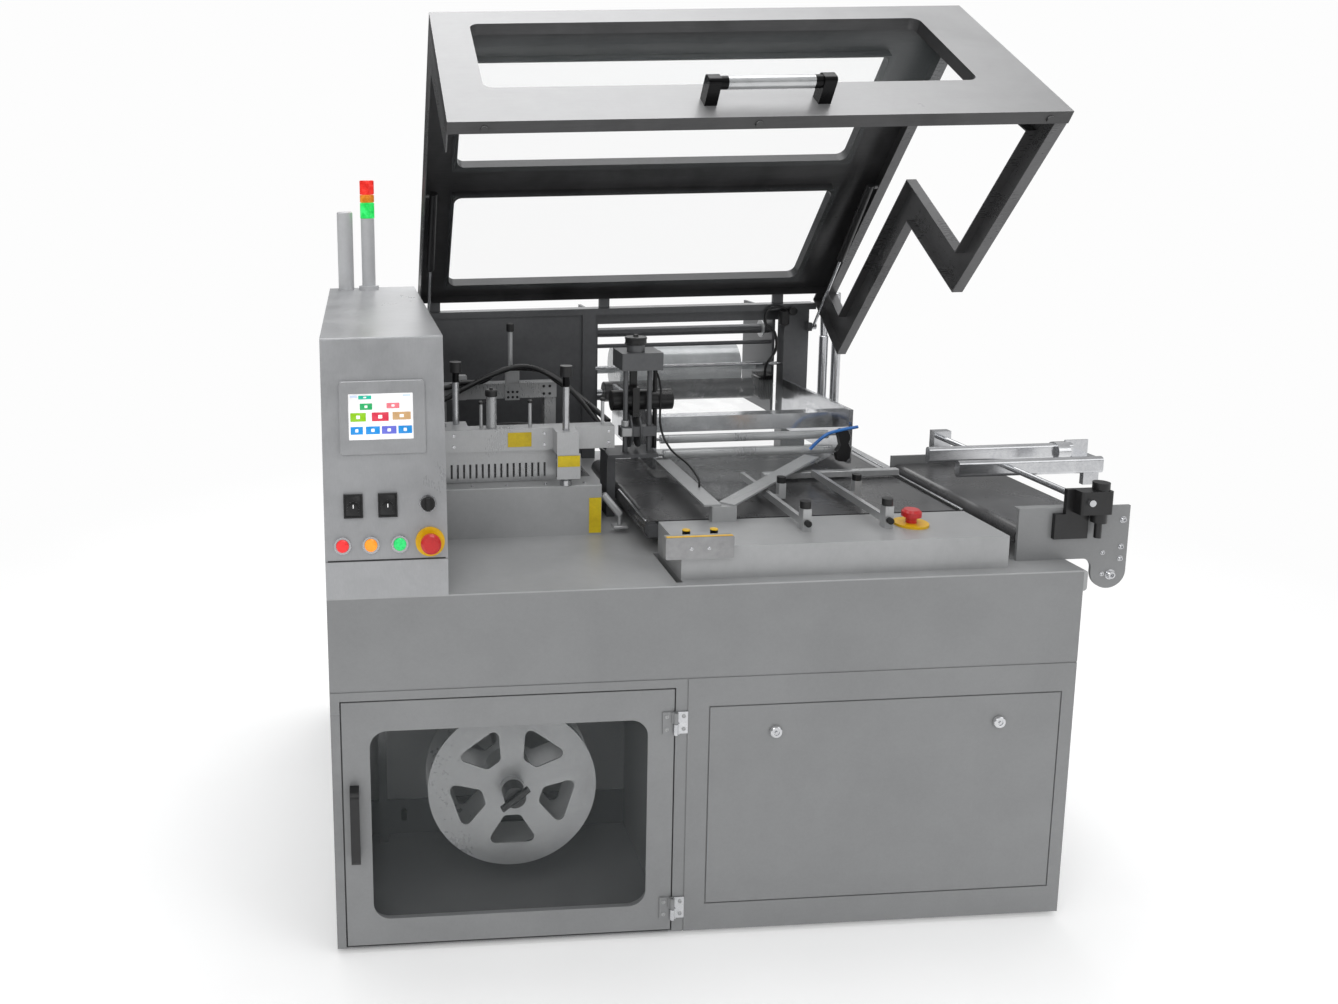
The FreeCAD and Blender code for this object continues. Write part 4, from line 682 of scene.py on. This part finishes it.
web_points = np.array(corner) + np.stack(web_grid, axis=2) / 1000
web_index = np.arange(web_points.size // 3).reshape(web_points.shape[:2])
web_faces = np.stack((web_index[:-1, :-1], web_index[:-1, 1:], web_index[1:, 1:], web_index[1:, :-1]),
                     axis=-1)
piece("film_web", [(web_points.reshape(-1, 3), web_faces.reshape(-1, 4).tolist())], "web")

# ------------------------------------------------------------ guard hood
# Folded steel panels with clear panes swing up on one hinge line, held by two gas springs: polished rods in
# black tubes. The grip is an anodised tube.
handle_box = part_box("hood_handle")
handle_middle = (handle_box[0].x + handle_box[1].x) / 2
# Brushed steel sheet; faces that look away from the outer direction take a near-black pair, painted shade on
# the hood's inner faces.
finishes["hood_front"] = finish_of("hood_front_steel", "#8c8c8d", "#989899", 0.34, 0.35, 5.0, (.3, 8, 8),
                                   60, wear=.05, shade_by_facing=((0, -0.55, 0.835), "#3a3a3b", "#4c4c4d"))
# The same sheet on the top panel, with the same painted shade on its inner faces.
finishes["hood_top"] = finish_of("hood_top_steel", "#8c8c8d", "#989899", 0.34, 0.35, 5.0, (.3, 8, 8), 60,
                                 wear=.05, shade_by_facing=((0, 0.766, 0.643), "#363637", "#4b4b4c"))
# Folded steel channel of the hood's ends, darker and shinier; faces that do not look along +X take a
# slightly darker pair, painted shade.
finishes["hood_end"] = finish_of("hood_end_steel", "#666667", "#747475", 0.27, 0.5, 6.0, (1, 6, 6), 60,
                                 wear=.06, shade_by_facing=((1, 0, 0), "#565657", "#686869"))
# Anodised grip tube between black feet.
finishes["handle"] = finish_of("anodised_handle", "#a9abad", "#d0d1d2", 0.24, 0.75, 4.0, (.2, 40, 40), 40,
                               .05, split=("X", handle_middle, 0.083, "#0e0e0f", "#19191a"))
dress("hood_front", "hood_front")
dress("hood_top", "hood_top")
dress("hood_end hood_cheek", "hood_end")
dress("hood_panes", "glass")
dress("hood_handle", "handle")
dress("spring_rods", "polished")
dress("spring_tubes", "black_paint")

# ------------------------------------------------------------ rear frame
# Coated steel posts carry the hood's hinge beam. Added here: two upright tubes at the right, and the cable
# loop with its clamp on the right post.
dress("hinge_beam rear_posts", "dark_steel")

upright_tubes = []
for tube_x, tube_y in ((1462, 1003), (1492, 985)):
    upright_tubes += [bar(spot(tube_x, tube_y, 770), spot(tube_x, tube_y, 1106), 13, 1.5),
                      bar(spot(tube_x, tube_y, 1106), spot(tube_x - 4, tube_y, 1236), 10.5, 1.5)]
piece("upright_tubes", upright_tubes, "polished")
piece("post_cable", [swept([spot(*p) for p in ((1330, 940, 1188), (1296, 930, 1206), (1262, 934, 1196),
                                               (1256, 936, 1160),
                                               (1282, 930, 1130), (1290, 938, 1080), (1268, 948, 1034),
                                               (1272, 968, 996))], 4.0)],
      "black_plastic")
piece("post_clamp", [slab((1296, 926, 1150), (1324, 944, 1196), 5), turned(spot(1334, 926, 1192), rear,
                                                                          ((6, 0), (12, 2), (12, 16), (8, 18)))], "black_plastic")

# ------------------------------------------------------------ table
# A ground folded cover with belts on coated beds, and slides clamped by black knobs. Added here: the bright
# strips along the belts, the yellow marks of the hood's catches and the carrier's screws.
# Steel catch plate with dark magnets behind its front edge.
finishes["catch"] = finish_of("catch_steel_and_magnets", "#8f8f90", "#a5a5a6", 0.32, 0.4, 6.0, fine=90,
                              wear=.15, split=("Y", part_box("hood_catches")[0].y + 0.026, 0.0, "#121213",
                                               "#222223"))
dress("table_cover", "plate")
dress("conveyor_beds", "dark_steel")
dress("conveyor_belts", "belt")
dress("cross_slides", "aluminium")
dress("hand_knobs", "black_plastic")
dress("hood_catches", "catch")
dress("table_stop", "red")

piece("table_rail", [slab((1064, 450, 842), (1404, 468, 858), 1.5)], "aluminium")
piece("table_edge", [slab((1403, 192, 838.4), (1408, 690, 842), 0.6),
                     slab((692, 192, 838.4), (697, 420, 842), 0.6)],
      "polished")
piece("catch_marks", [slab((686, 13, 866), (822, 21, 866.8), 0.3)]
      + [turned(spot(x, 58, 864), upward, ((7.5, 0), (8.2, .4), (8.2, 2), (7, 2.6))) for x in (740, 798)],
      "stop_yellow")
piece("carrier_screws", [screw(spot(x, 12, 842), front, 3.2) for x in (736, 772)], "polished")

# ------------------------------------------------------------ infeed
# Painted side plates carry the infeed belt, with polished guide tubes held by a black clamp. Added here: the
# side plate's screws.
dress("infeed_frame", "cabinet_paint")
dress("guide_carriage rear_guide", "polished")
dress("guide_clamp", "black_paint")

piece("infeed_screws",
      [screw(spot(x, 61, z), front, r) for x, z, r in ((1672, 853, 6), (1672, 794, 5), (1672, 768, 5),
                                                                    (1633, 782, 4), (1635, 735, 4), (1653, 733, 9))], "polished")
